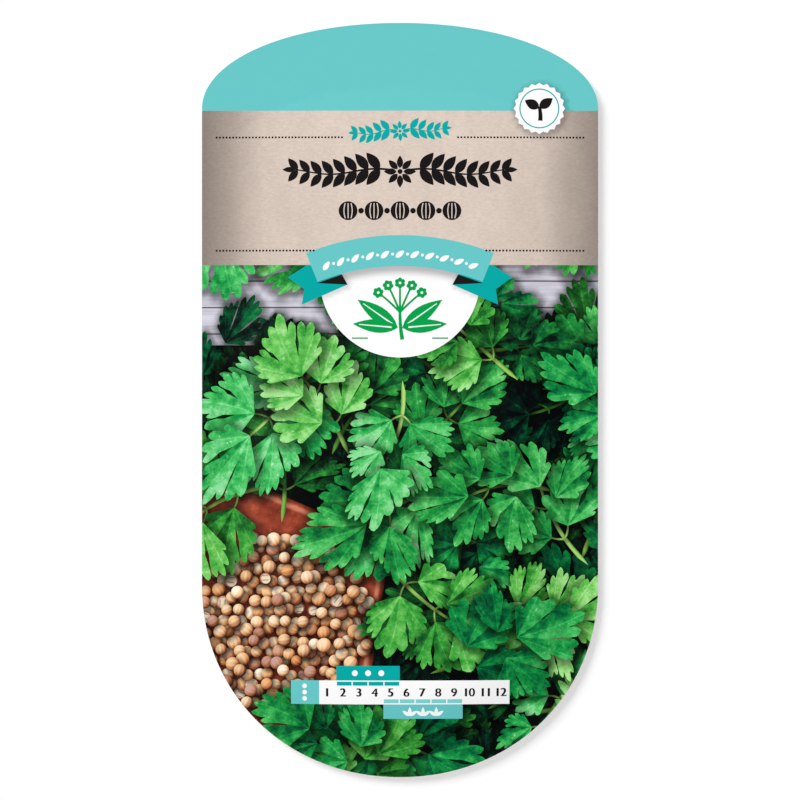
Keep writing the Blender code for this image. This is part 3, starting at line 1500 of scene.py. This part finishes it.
@dataclass
class BackDesign:
    """What is printed on the back: a growing guide in signs and numbers, without words."""

    plan: PrintPlan

    def panel(self, low: float, high: float, ink: Ink) -> None:
        """Print a field with rounded corners across the back.

        Args:
            low: Its lower edge.
            high: Its upper edge.
            ink: Its colour.
        """
        half, corner = 33.0, 4.0
        outline = [
            middle + polar(corner, turn)
            for start, middle in (
                (0, (half, high)), (1, (-half, high)), (2, (-half, low)), (3, (half, low)),
            )
            for turn in np.linspace(start, start + 1, 7) * math.pi / 2
        ]
        self.plan.add(np.array(outline), ink)

    def sun(self, middle: Points) -> None:
        """Print a sun."""
        self.plan.add(ring(1.9, 32, middle), Ink.DEEP_TEAL)
        for ray in range(8):
            line = middle + polar(np.array([2.5, 3.8]), ray * math.pi / 4)
            self.plan.add(strip(line, 0.55, 0.3), Ink.DEEP_TEAL)

    def drop(self, middle: Points) -> None:
        """Print a drop of water."""
        turn = np.linspace(0, math.tau, 33)[:-1]
        wide = 2.0 * np.sin(turn) * np.sin(turn / 2) ** 1.4
        self.plan.add(np.stack([wide, 3.2 * np.cos(turn)], axis=1)[::-1] + middle, Ink.DEEP_TEAL)

    def pot(self, middle: Points) -> None:
        """Print a plant pot with a seedling."""
        rim = block(-2.6, 2.6, -0.4, 0.5) + middle
        body = np.array([(-2.1, -0.8), (2.1, -0.8), (1.5, -3.8), (-1.5, -3.8)]) + middle
        stem = strip(bow(middle + (0, 0.5), middle + (0.1, 2.9), 0.05), 0.4, 0.3)
        leaf = rounded(np.array([(0, 0), (0.9, 0.95), (2.3, 0.8), (1.4, -0.05)]))
        for shape in (rim, body, stem, leaf + middle + (0, 2.4), leaf * (-1, 1) + middle + (0, 2.0)):
            self.plan.add(shape, Ink.DEEP_TEAL)

    def build(self) -> None:
        """Print it all."""
        self.plan.add(block(-PAST_SIDE, PAST_SIDE, -PAST_END, PAST_END), Ink.KRAFT)
        self.plan.add(block(-PAST_SIDE, PAST_SIDE, HEAD_LOW, PAST_END), Ink.TURQUOISE)
        signs_low, signs_high, sign_step = 36.0, 50.0, 22.0
        self.panel(signs_low, signs_high, Ink.WHITE)
        for place, sign in enumerate((self.sun, self.drop, self.pot), -1):
            sign(np.array([place * sign_step, (signs_low + signs_high) / 2]))
        notes_low, notes_high, rules, rule_step, rule_half = -18.0, 24.0, 7, 6.2, 32.0
        self.panel(notes_low, notes_high, Ink.WHITE)
        for line in range(rules):
            y = notes_high - 2.5 - rule_step * line
            self.plan.add(block(-rule_half, rule_half, y - 0.1, y + 0.1), Ink.KRAFT)
        front = FrontDesign(self.plan)
        front.garland(Ink.DEEP_TEAL, np.array([0.0, 29.8]), 20.0, 3.0, 7, 0.0)
        front.calendar()


@dataclass
class Sheet:
    """One sheet of paper: its printed side, its bare inner side and its cut edge.

    Attributes:
        name: The piece's name.
        plan: What is printed on it.
        outer: The height of its printed side over each point, in millimetres.
        facing: 1 if the printed side faces up, or -1 if it faces down.
        inner_grid: The step of the inner side's points.
    """

    name: str
    plan: PrintPlan
    outer: Height
    facing: int
    inner_grid: float = 2.4

    def printed_side(self) -> tuple[Points, Points, np.ndarray]:
        """Split the printed side into triangles that follow the print.

        Returns:
            The points, the triangles and each triangle's patch.
        """
        lines, edges = self.plan.visible_edges()
        spots = self.plan.grid_points(lines, edges, self.plan.grid)
        points, faces = self.plan.triangulate(np.concatenate([lines, spots]), edges, within=True)
        used, renamed = np.unique(faces, return_inverse=True)
        points, faces = points[used], renamed.reshape(-1, 3)
        return points, faces, self.plan.tops(points[faces].mean(axis=1))

    def rim(self, faces: Points) -> list[int]:
        """Follow the points round the cut edge.

        Args:
            faces: The printed side's triangles.

        Returns:
            Those points' numbers, in their order.
        """
        steps = {pair for a, b, c in faces.tolist() for pair in ((a, b), (b, c), (c, a))}
        after = {a: b for a, b in sorted(steps) if (b, a) not in steps}
        loops = []
        while after:
            loop, step = [], next(iter(after))
            while step in after:
                loop.append(step)
                step = after.pop(step)
            loops.append(loop)
        return max(loops, key=len)

    def inner_side(self, rim: Points) -> tuple[Points, Points, list[int]]:
        """Split the bare side into larger triangles within the same rim.

        Args:
            rim: The points round the cut edge.

        Returns:
            The points, the triangles, and the number of each rim point among the points.
        """
        edges = [(k, (k + 1) % len(rim)) for k in range(len(rim))]
        spots = self.plan.grid_points(rim, edges, self.inner_grid)
        given = [Vector(p) for p in np.concatenate([rim, spots])]
        made = delaunay_2d_cdt(given, edges, [], 1, 1e-5, True)
        home = {source: number for number, sources in enumerate(made[3]) for source in sources}
        return np.array([p[:] for p in made[0]]), np.array(made[2], int), [home[k] for k in range(len(rim))]

    def slope(self, points: Points) -> Points:
        """Work out the upward normals of the printed side.

        Args:
            points: Points on the sheet.

        Returns:
            A unit vector for each.
        """
        x, y = points[:, 0], points[:, 1]
        step = 0.05
        dx = (self.outer(x + step, y) - self.outer(x - step, y)) / (2 * step)
        dy = (self.outer(x, y + step) - self.outer(x, y - step)) / (2 * step)
        normal = np.stack([-dx, -dy, np.ones_like(dx)], axis=1)
        return normal / np.linalg.norm(normal, axis=1, keepdims=True)

    def stand(self, points: Points, depth: float) -> Points:
        """Put flat points into the paper at a depth, mirrored on a sheet that faces down."""
        x, y = points[:, 0] * self.facing, points[:, 1]
        return np.column_stack([x, y, self.outer(x, y) - depth * self.facing]) * MM

    def build(self, palette: "Palette") -> bpy.types.Object:
        """Make the sheet.

        Args:
            palette: The inks' materials.

        Returns:
            The finished piece.
        """
        points, faces, top = self.printed_side()
        loop = self.rim(faces)
        inner, inner_faces, home = self.inner_side(points[loop])
        places = np.concatenate([self.stand(points, 0.0), self.stand(inner, self.plan.form.paper)])
        shift = len(points)
        rows = [tuple(face) for face in faces.tolist()]
        rows += [tuple(shift + k for k in reversed(face)) for face in inner_faces.tolist()]
        for step, corner in enumerate(loop):
            after = (step + 1) % len(loop)
            rows.append((corner, shift + home[step], shift + home[after], loop[after]))
        mesh = bpy.data.meshes.new(self.name)
        mesh.from_pydata(places.tolist(), [], rows)
        shown = {self.plan.patches[k].ink for k in set(top.tolist())} | {Ink.BARE_PAPER}
        inks = [ink for ink in Ink if ink in shown]
        for ink in inks:
            mesh.materials.append(palette.finish(ink))
        slots = np.zeros(len(rows), np.int32)
        by_patch = np.array([inks.index(p.ink) if p.ink in inks else 0 for p in self.plan.patches])
        slots[: len(faces)] = by_patch[top]
        mesh.polygons.foreach_set("material_index", slots)
        self.dress(mesh, points, faces, top)
        self.shade(mesh, points, inner, len(faces) + len(inner_faces), points[loop])
        return new_object(self.name, mesh)

    def dress(self, mesh: bpy.types.Mesh, points: Points, faces: Points, top: np.ndarray) -> None:
        """Store where each corner stands in what it pictures, for the inks to read.

        Args:
            mesh: The sheet's mesh, whose first faces are the printed triangles.
            points: The printed side's points.
            faces: Its triangles.
            top: Each triangle's patch.
        """
        place = np.zeros((len(faces), 3, 3))
        tone = np.zeros((len(faces), 3, 3))
        place[:, :, 2] = self.plan.shade_of(points, faces, top)
        order = np.argsort(top, kind="stable")
        starts = np.searchsorted(top[order], np.arange(len(self.plan.patches) + 1))
        for number, patch in enumerate(self.plan.patches):
            rows = order[starts[number]:starts[number + 1]]
            if patch.ink in PLACED_INKS and len(rows):
                place[rows, :, :2] = patch.local(points[faces[rows]].reshape(-1, 2)).reshape(-1, 3, 2)
                tone[rows] = patch.tone
        for label, values in (("print_place", place), ("print_tone", tone)):
            layer = mesh.attributes.new(label, "FLOAT_VECTOR", "CORNER")
            filled = np.zeros((len(mesh.loops), 3), np.float32)
            filled[: len(faces) * 3] = values.reshape(-1, 3)
            layer.data.foreach_set("vector", filled.ravel())

    def shade(self, mesh: bpy.types.Mesh, points: Points, inner: Points, flat: int, edge: Points) -> None:
        """Give every corner its own smooth normal, with the cut edge crisp.

        Args:
            mesh: The sheet's mesh.
            points: The printed side's points.
            inner: The bare side's points.
            flat: The number of triangles on both sides, which come before the cut edge's faces.
            edge: The points round the cut edge.
        """
        mirror = np.array([self.facing, 1.0])
        both = np.concatenate([self.slope(points * mirror), -self.slope(inner * mirror)]) * self.facing
        corners = np.zeros(len(mesh.loops), np.int32)
        mesh.loops.foreach_get("vertex_index", corners)
        normals = both[corners]
        along = np.roll(edge, -1, axis=0) - np.roll(edge, 1, axis=0)
        out = np.column_stack([along[:, 1] * self.facing, -along[:, 0], np.zeros(len(edge))])
        out /= np.linalg.norm(out, axis=1, keepdims=True)
        after = np.roll(out, -1, axis=0)
        normals[flat * 3:] = np.stack([out, out, after, after], axis=1).reshape(-1, 3)
        mesh.normals_split_custom_set(normals.tolist())


@dataclass(frozen=True)
class DottedRules:
    """The four dotted rules beside the garlands, as small raised dots of ink."""

    form: PacketForm
    outer: Height
    rows: tuple[tuple[float, float, float], ...] = ((55.66, 12.3, 38.9), (31.66, 18.3, 38.9))
    pitch: float = 0.70
    radius: float = 0.235
    taper: float = 0.72
    raised: float = 0.03
    sides: int = 10

    def path(self) -> bpy.types.Object:
        """Make the lines that the dots follow, on the paper's surface.

        Returns:
            Their object.
        """
        points, edges = [], []
        for y, near, far in self.rows:
            for way in (-1, 1):
                xs = np.linspace(near, far, 40) * way
                start = len(points)
                points += [(x * MM, y * MM, z * MM) for x, z in zip(xs, self.outer(xs, np.full_like(xs, y)))]
                edges += [(k, k + 1) for k in range(start, len(points) - 1)]
        mesh = bpy.data.meshes.new("rule_path")
        mesh.from_pydata(points, edges, [])
        return new_object("dotted_rules", mesh)

    def build(self, finish: bpy.types.Material) -> bpy.types.Object:
        """Set the dots along the lines with Geometry Nodes.

        Args:
            finish: The ink's material.

        Returns:
            The finished piece.
        """
        tree = GeometryTree("dot_rule", {
            "Pitch": "NodeSocketFloat", "Radius": "NodeSocketFloat", "Height": "NodeSocketFloat",
        })
        line = tree.add("GeometryNodeMeshToCurve", {"Mesh": tree.given["Geometry"]})
        spaced = tree.add("GeometryNodeResampleCurve", {
            "Curve": line.outputs["Curve"], "Length": tree.given["Pitch"],
        }, mode="LENGTH")
        dot = tree.add("GeometryNodeMeshCone", {
            "Vertices": self.sides, "Radius Bottom": tree.given["Radius"],
            "Radius Top": tree.math("MULTIPLY", tree.given["Radius"], self.taper),
            "Depth": tree.given["Height"],
        })
        place = tree.add("GeometryNodeInstanceOnPoints", {
            "Points": spaced.outputs["Curve"], "Instance": dot.outputs["Mesh"],
        })
        tree.finish(place.outputs["Instances"], finish)
        sizes = {"Pitch": self.pitch * MM, "Radius": self.radius * MM, "Height": self.raised * MM}
        return tree.apply(self.path(), sizes, helpers=[])


def new_material(name: str) -> tuple[bpy.types.Material, Nodes, bpy.types.Node]:
    """Start a material, and give it with its tree and its shader."""
    material = bpy.data.materials.new(name)
    material.use_nodes = True
    return material, Nodes(material.node_tree), material.node_tree.nodes["Principled BSDF"]


def coated_paper() -> bpy.types.NodeTree:
    """Build the effect of coated paper under ink: its fine tooth, its gloss and the ink's slight mottle."""
    nodes = Nodes(bpy.data.node_groups.new("coated_paper", "ShaderNodeTree"))
    nodes.open_sockets(
        {"Color": "NodeSocketColor", "Shadow": "NodeSocketFloat", "Mottle": "NodeSocketFloat"},
        {"Color": "NodeSocketColor", "Roughness": "NodeSocketFloat", "Height": "NodeSocketFloat"},
    )
    given = nodes.add("NodeGroupInput").outputs
    spot = nodes.place()
    tooth = nodes.noise(spot, 9.0, 2)
    cloud = nodes.noise(spot, 0.35, 4)
    _, _, shade = nodes.read("print_place")
    level = (1.0 - shade * given["Shadow"]) * ((cloud - 0.5) * given["Mottle"] + 1.0)
    nodes.add("NodeGroupOutput", {
        "Color": nodes.scaled(given["Color"], level), "Roughness": tooth * 0.10 + cloud * 0.06 + 0.38,
        "Height": tooth,
    })
    return nodes.tree


@dataclass(frozen=True)
class PaperStock:
    """The coated paper that every ink lies on."""

    effect: bpy.types.NodeTree
    relief: float = 0.10
    relief_size: float = 0.00003
    specular: float = 0.15
    varnish: float = 0.05
    varnish_roughness: float = 0.25

    def material(
        self, name: str, colour: Callable[[Nodes], object], shadow: float = 1.0, mottle: float = 0.05
    ) -> bpy.types.Material:
        """Make the material of one ink.

        Args:
            name: Its name.
            colour: What gives its colour, from the material's nodes.
            shadow: How strongly printed shadows darken it.
            mottle: How much its strength varies.

        Returns:
            The material.
        """
        material, nodes, shader = new_material(name)
        given = {"Color": colour(nodes), "Shadow": shadow, "Mottle": mottle}
        paper = nodes.add("ShaderNodeGroup", given, node_tree=self.effect)
        bump = nodes.add("ShaderNodeBump", {
            "Strength": self.relief, "Distance": self.relief_size, "Height": paper.outputs["Height"],
        })
        nodes.set(shader, {
            "Base Color": paper.outputs["Color"], "Roughness": paper.outputs["Roughness"],
            "Normal": bump.outputs["Normal"], "Specular IOR Level": self.specular,
            "Coat Weight": self.varnish, "Coat Roughness": self.varnish_roughness,
        })
        return material


@dataclass(frozen=True)
class KraftInk:
    """Printed kraft paper: warm grey, with fibres, and darker towards both sides."""

    brightest_x: float = 0.6
    half_width: float = 42.0

    def colour(self, nodes: Nodes) -> object:
        """Give the kraft's colour."""
        across, _, _ = nodes.parts(nodes.place())
        base = nodes.ramp(abs(across - self.brightest_x) / self.half_width, (
            (0.30, (218, 202, 189)), (0.70, (210, 194, 182)), (0.86, (173, 159, 148)), (1.0, (144, 132, 124)),
        ))
        fibre = nodes.noise(nodes.place((1100.0, 2300.0, 1000.0)), 1.0, 4, 0.65)
        cloud = nodes.noise(nodes.place((260.0, 140.0, 100.0)), 1.0, 3)
        level = (fibre - 0.5) * 0.42 + (cloud - 0.5) * 0.16 + 1.0
        speck = nodes.step(nodes.noise(nodes.place(), 1.9, 2), 0.68, 0.76, 0.0, 0.22)
        return nodes.mix(speck, nodes.scaled(base, level), colour_of(128, 100, 82))


@dataclass(frozen=True)
class LeafInk:
    """The pictured herb leaves: a vein in each lobe, soft folds that catch the light, and pale painted
    glints, as of light on beads of water.
    """

    lobe_step: float = LeafCut().spread / LeafCut().lobes
    light_from: float = math.radians(120)
    blue_green: Stops = (
        (0.0, (0, 3, 4)), (0.2, (0, 32, 22)), (0.42, (0, 92, 50)),
        (0.62, (20, 150, 68)), (0.82, (76, 196, 102)), (1.0, (142, 224, 158)),
    )
    lime_green: Stops = (
        (0.0, (1, 3, 2)), (0.2, (6, 34, 12)), (0.42, (26, 96, 30)),
        (0.62, (58, 156, 50)), (0.82, (114, 198, 86)), (1.0, (172, 228, 140)),
    )

    def colour(self, nodes: Nodes) -> object:
        """Give the leaves' colour."""
        along, across, _ = nodes.read("print_place")
        warm, light, turn = nodes.read("print_tone")
        out = nodes.math("SQRT", along * along + across * across)
        angle = nodes.math("ARCTAN2", across, along)
        off = nodes.math("WRAP", angle, self.lobe_step / 2, -self.lobe_step / 2)
        vein = nodes.step(abs(off) * out, 0.003, 0.022, 1.0, 0.0)
        faced = nodes.math("SINE", turn * math.tau + angle - off - self.light_from)
        pleat = faced * nodes.math("SINE", off * (4.8 / self.lobe_step))
        spot = nodes.place()
        wide = nodes.noise(spot, 0.16, 2) - 0.5
        mottle = nodes.noise(spot, 0.5, 4, 0.62) - 0.5
        fine = nodes.noise(spot, 2.2, 2) - 0.5
        level = light + pleat * 0.13 + wide * 0.44 + mottle * 0.78 + fine * 0.2
        level = level + vein * 0.09 + out * 0.12 - 0.02
        warmth = nodes.step(warm, 0.25, 1.0, 0.0, 0.9)
        green = nodes.mix(warmth, nodes.ramp(level, self.blue_green), nodes.ramp(level, self.lime_green))
        # Painted glints: pale specks on the brighter parts of the leaves, as light on beads of water.
        drop_glints = nodes.step(nodes.noise(spot, 1.3, 2), 0.66, 0.74)
        return nodes.mix(drop_glints * nodes.step(level, 0.5, 0.85, 0.0, 0.5), green, colour_of(212, 244, 220))


@dataclass(frozen=True)
class StalkInk:
    """The pictured stalks: pale green and round."""

    def colour(self, nodes: Nodes) -> object:
        """Give the stalks' colour."""
        _, across, _ = nodes.read("print_place")
        _, light, _ = nodes.read("print_tone")
        return nodes.ramp(light + across * 0.16 - across * across * 0.38 + 0.14, (
            (0.0, (8, 42, 12)), (0.4, (66, 132, 44)), (0.7, (132, 188, 78)), (1.0, (198, 230, 144)),
        ))


@dataclass(frozen=True)
class SeedInk:
    """The pictured seeds: round, ribbed and tan, with a few split husks that show pale inside."""

    ribs: float = 9.0
    split_from: float = 0.93

    def ribbed(self, nodes: Nodes, x: Value, y: Value, angle: Value) -> tuple[Value, Value, Value]:
        """Turn a seed's place about its own axis.

        Args:
            nodes: The material's nodes.
            x: The place across the seed, from -1 to 1.
            y: The place up the seed.
            angle: The way that the seed's ribs run.

        Returns:
            The wave of its ribs, and the places along and across its slit.
        """
        cos, sin = nodes.math("COSINE", angle), nodes.math("SINE", angle)
        over, up = x * cos + y * sin, y * cos - x * sin
        wide = nodes.math("SQRT", nodes.math("SUBTRACT", 1.02, up * up, clamp=True))
        round_by = nodes.math("ARCSINE", over / nodes.math("MAXIMUM", wide, 0.05))
        return nodes.math("SINE", round_by * self.ribs), over, up

    def colour(self, nodes: Nodes) -> object:
        """Give the seeds' colour."""
        x, y, _ = nodes.read("print_place")
        shade, warm, turn = nodes.read("print_tone")
        rib, over, up = self.ribbed(nodes, x, y, turn * math.tau)
        flat = x * x + y * y
        high = nodes.math("SQRT", nodes.math("SUBTRACT", 1.0, flat, clamp=True))
        level = high * 0.58 + y * 0.34 - x * 0.28 + rib * 0.06 + shade * 0.36 + 0.02
        tan = nodes.ramp(level, (
            (0.0, (54, 26, 18)), (0.30, (144, 92, 64)), (0.52, (206, 156, 116)),
            (0.76, (242, 212, 176)), (1.0, (255, 248, 234)),
        ))
        hue = nodes.ramp(warm, (
            (0.0, (255, 252, 244)), (0.45, (255, 238, 216)), (0.70, (246, 204, 160)), (0.84, (204, 168, 166)),
        ))
        whole = nodes.mix(1.0, tan, hue, "MULTIPLY")
        lines = nodes.step(nodes.math("SINE", over * 9.0), 0.5, 1.0) * nodes.step(up, 0.35, 0.5, 0.8, 0.0)
        inside = nodes.mix(lines, colour_of(232, 214, 186), colour_of(146, 106, 76))
        bowl = nodes.step(flat, 0.50, 0.62, 1.0, 0.0)
        return nodes.mix(bowl * nodes.math("GREATER_THAN", warm, self.split_from), whole, inside)


@dataclass(frozen=True)
class ClayInk:
    """The pictured clay tile, with a pale painted highlight on its arris and dark painted shade on its side,
    along its top and right edges.
    """

    # side: how far in from the edge the dark painted shade of the tile's side reaches; arris: where the pale
    # painted highlight ends.
    side: float = 0.9
    arris: float = 2.0

    def colour(self, nodes: Nodes) -> object:
        """Give the clay's colour."""
        beside, below, _ = nodes.read("print_place")
        spot = nodes.place()
        depth = nodes.math("MINIMUM", beside, below) + (nodes.noise(spot, 0.5, 3) - 0.5) * 0.7
        body = nodes.ramp(nodes.noise(spot, 0.28, 6, 0.6), (
            (0.3, (104, 38, 24)), (0.52, (152, 64, 42)), (0.75, (186, 92, 64)),
        ))
        grit = nodes.step(nodes.noise(spot, 2.4, 2), 0.66, 0.74, 0.0, 0.35)
        body = nodes.mix(grit, body, colour_of(214, 142, 112))
        # Painted highlight: a pale band on the arris, centred between side and arris in from the edge.
        arris_highlight = nodes.step(abs(depth - (self.side + self.arris) / 2), 0.1, 0.8, 0.7, 0.0)
        lit = nodes.mix(arris_highlight, body, colour_of(224, 140, 110))
        # Painted shade: the tile's side, darkened from its edge up to side in from it.
        return nodes.mix(nodes.step(depth, 0.0, self.side, 0.75, 0.0), lit, colour_of(52, 16, 12))


@dataclass(frozen=True)
class GroundInk:
    """A pictured ground of one kind, such as deep shade or pale planks."""

    stops: Stops
    stretch: tuple[float, float, float] = (1000.0, 1000.0, 1000.0)
    scale: float = 0.3
    seam: float = 0.0

    def colour(self, nodes: Nodes) -> object:
        """Give the ground's colour."""
        tint = nodes.ramp(nodes.noise(nodes.place(self.stretch), self.scale, 6, 0.62), self.stops)
        if not self.seam:
            return tint
        _, up, _ = nodes.parts(nodes.place())
        gap = nodes.step(abs(nodes.math("FRACT", up / self.seam) - 0.5), 0.0, 0.05, 1.0, 0.0)
        return nodes.mix(gap, tint, colour_of(60, 56, 50))


@dataclass(frozen=True)
class PlainInk:
    """A flat ink of one colour."""

    red: float
    green: float
    blue: float

    def colour(self, _nodes: Nodes) -> object:
        """Give the ink's colour."""
        return colour_of(self.red, self.green, self.blue)


class Palette:
    """The materials of all the inks, each made once when it is first needed."""

    def __init__(self) -> None:
        """Mix the inks."""
        self.stock = PaperStock(coated_paper())
        self.made: dict[Ink, bpy.types.Material] = {}
        self.inks = {
            Ink.BARE_PAPER: PlainInk(238, 236, 231),
            Ink.TURQUOISE: PlainInk(104, 199, 199),
            Ink.KRAFT: KraftInk(),
            Ink.DEEP_TEAL: PlainInk(0, 168, 165),
            Ink.PALE_TEAL: PlainInk(128, 210, 208),
            Ink.WHITE: PlainInk(252, 252, 252),
            Ink.BLACK: PlainInk(24, 20, 21),
            Ink.GREEN: PlainInk(0, 160, 75),
            Ink.FOLD: PlainInk(26, 22, 22),
            Ink.LEAF: LeafInk(),
            Ink.STALK: StalkInk(),
            Ink.SEED: SeedInk(),
            Ink.SHADE: GroundInk(((0.3, (0, 2, 3)), (0.7, (2, 10, 8)))),
            Ink.PLANK: GroundInk(
                ((0.25, (150, 140, 144)), (0.5, (206, 204, 216)), (0.75, (232, 234, 246))),
                stretch=(90.0, 1900.0, 1000.0), seam=5.6,
            ),
            Ink.CLAY: ClayInk(),
        }

    def finish(self, ink: Ink) -> bpy.types.Material:
        """Give an ink's material.

        Args:
            ink: The ink.

        Returns:
            Its material, made at its first use.
        """
        if ink not in self.made:
            flat = isinstance(self.inks[ink], PlainInk)
            mix = self.inks[ink]
            self.made[ink] = self.stock.material(
                "ink_" + ink.name.lower(), mix.colour, 0.9 if flat else 1.0, 0.03 if flat else 0.06
            )
        return self.made[ink]


def husk_finish() -> bpy.types.Material:
    """Make the real seeds' material: dry, tan and a little blotched."""
    material, nodes, shader = new_material("seed_husk")
    spot = nodes.place()
    grain = nodes.noise(spot, 6.0, 3)
    bump = nodes.add("ShaderNodeBump", {"Strength": 0.4, "Distance": 0.0001, "Height": grain})
    nodes.set(shader, {
        "Base Color": nodes.ramp(nodes.noise(spot, 0.5, 4), ((0.3, (150, 104, 62)), (0.7, (206, 168, 118)))),
        "Roughness": grain * 0.2 + 0.5, "Normal": bump.outputs["Normal"],
    })
    return material


@dataclass(frozen=True)
class Studio:
    """The pale floor, the soft lights and the camera that looks straight down."""

    seen_width: float = 0.1695
    lens: float = 200.0
    sensor: float = 36.0
    focus_height: float = 0.003
    floor_side: float = 4.0
    daylight: float = 0.12

    def floor(self) -> None:
        """Lay the floor."""
        half = self.floor_side / 2
        mesh = bpy.data.meshes.new("floor")
        corners = [(-half, -half, 0), (half, -half, 0), (half, half, 0), (-half, half, 0)]
        mesh.from_pydata(corners, [], [(0, 1, 2, 3)])
        material, nodes, shader = new_material("pale_floor")
        grain = nodes.noise(nodes.place(), 0.02, 2)
        tone = nodes.ramp(grain, ((0.3, (252, 252, 252)), (0.7, (254, 254, 254))))
        nodes.set(shader, {"Base Color": tone, "Roughness": 0.8, "Specular IOR Level": 0.2})
        mesh.materials.append(material)
        new_object("floor", mesh)

    def sun(
        self, name: str, strength: float, spread: float, tilt: float, azimuth: float, glossy: bool = True
    ) -> None:
        """Add a broad, even light.

        Args:
            name: Its name.
            strength: Its strength.
            spread: Its width, in degrees.
            tilt: Its angle from straight above, in degrees.
            azimuth: The side that it comes from, in degrees from +X.
            glossy: Whether it shows in reflections.
        """
        light = bpy.data.lights.new(name, "SUN")
        light.energy = strength
        light.angle = math.radians(spread)
        lamp = new_object(name, light)
        lamp.rotation_euler = (0.0, math.radians(tilt), math.radians(azimuth))
        lamp.visible_glossy = glossy

    def camera(self) -> None:
        """Set the camera straight above the packet."""
        data = bpy.data.cameras.new("camera")
        data.sensor_width = self.sensor
        data.lens = self.lens
        eye = new_object("camera", data)
        eye.location = (0.0, 0.0, self.seen_width * self.lens / self.sensor + self.focus_height)
        bpy.context.scene.camera = eye

    def build(self) -> None:
        """Set up the studio."""
        self.floor()
        self.sun("key_light", strength=1.75, spread=30, tilt=52, azimuth=135)
        self.sun("top_light", strength=1.79, spread=14, tilt=0, azimuth=0, glossy=False)
        world = bpy.data.worlds.new("studio")
        world.use_nodes = True
        world.node_tree.nodes["Background"].inputs["Color"].default_value = (1.0, 1.0, 1.0, 1.0)
        world.node_tree.nodes["Background"].inputs["Strength"].default_value = self.daylight
        bpy.context.scene.world = world
        bpy.context.scene.view_settings.view_transform = "Standard"
        self.camera()


@dataclass(frozen=True)
class Relief:
    """The heights of the two sheets' printed sides, with the paper's small unevenness.

    Attributes:
        form: The packet's form.
        seeds: The seeds under the front.
        sag: How far the front sags between seeds.
        seed_spread: The spread of the paper's lift over one seed, in square millimetres.
        cover_spread: The spread by which seeds count as close by, in square millimetres.
        full_cover: How much of that makes the paper lie on seeds alone.
        pucker: How deep the puckers round the full bottom are.
        puckers: How many there would be round a whole turn.
        pucker_rise: How far past the seal they reach their depth.
        pucker_end: How far inside the edge they end, and pucker_fade over how much they fade.
        pucker_height: Over how much of the length they grow to their depth.
    """

    form: PacketForm
    seeds: SeedLayer
    sag: float = 0.06
    seed_spread: float = 1.7
    cover_spread: float = 16.0
    full_cover: float = 3.0
    pucker: float = 0.07
    puckers: int = 34
    pucker_rise: float = 3.0
    pucker_end: float = 15.0
    pucker_fade: float = 8.0
    pucker_height: float = 20.0

    def front(self, x: np.ndarray, y: np.ndarray) -> np.ndarray:
        """Give the height of the front's printed side.

        Args:
            x: The points' places across.
            y: Their places up.

        Returns:
            The heights, in millimetres.
        """
        inset = self.form.inset_at(x, y)
        height = self.form.front_low + self.form.rise(y) * self.form.swell(inset) + self.form.paper
        near = np.zeros_like(x)
        dense = np.zeros_like(x)
        for spot_x, spot_y in self.seeds.places():
            gap = (x - spot_x) ** 2 + (y - spot_y) ** 2
            near += np.exp(-gap / self.seed_spread)
            dense += np.exp(-gap / self.cover_spread)
        cover = smooth(dense / self.full_cover)
        height -= self.sag * cover * np.clip(1 - near, 0.0, 1.0)
        angle = np.arctan2(x, -(y + self.form.half_length - self.form.bottom_arc))
        edge = np.clip((inset - self.form.seal) / self.pucker_rise, 0, 1)
        edge *= np.clip((self.pucker_end - inset) / self.pucker_fade, 0, 1)
        low = smooth((self.form.full_below - y) / self.pucker_height)
        return height - self.pucker * edge * low * (0.5 + 0.5 * np.sin(angle * self.puckers))

    def back(self, x: np.ndarray, y: np.ndarray) -> np.ndarray:
        """Give the height of the back's printed side."""
        return self.form.rim_lift * (1 - self.form.swell(self.form.inset_at(x, y)))


def main() -> None:
    """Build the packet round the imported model, and the studio."""
    logging.basicConfig(level=logging.INFO, format="%(message)s")
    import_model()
    form = PacketForm.from_frame()
    palette = Palette()
    seeds = SeedLayer(form)
    relief = Relief(form, seeds)

    front_plan = PrintPlan(form)
    LeafPicture(front_plan).build()
    FrontDesign(front_plan).build()
    back_plan = PrintPlan(form, grid=1.6)
    BackDesign(back_plan).build()

    pieces = [
        (Sheet("printed_front", front_plan, relief.front, 1).build(palette), "front_sheet", "front_print"),
        (Sheet("printed_back", back_plan, relief.back, -1).build(palette), "back_sheet", "back_print"),
        (seeds.build(husk_finish()), "coriander_seeds", "seed"),
        (DottedRules(form, relief.front).build(palette.finish(Ink.BLACK)), None, "front_print"),
    ]
    for piece, node, slot in pieces:
        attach(piece, BODY)
        if node:
            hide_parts(node)
        log.info("%s: %d faces", piece.name, len(piece.data.polygons))

    Studio().build()


if __name__ == "__main__":
    main()
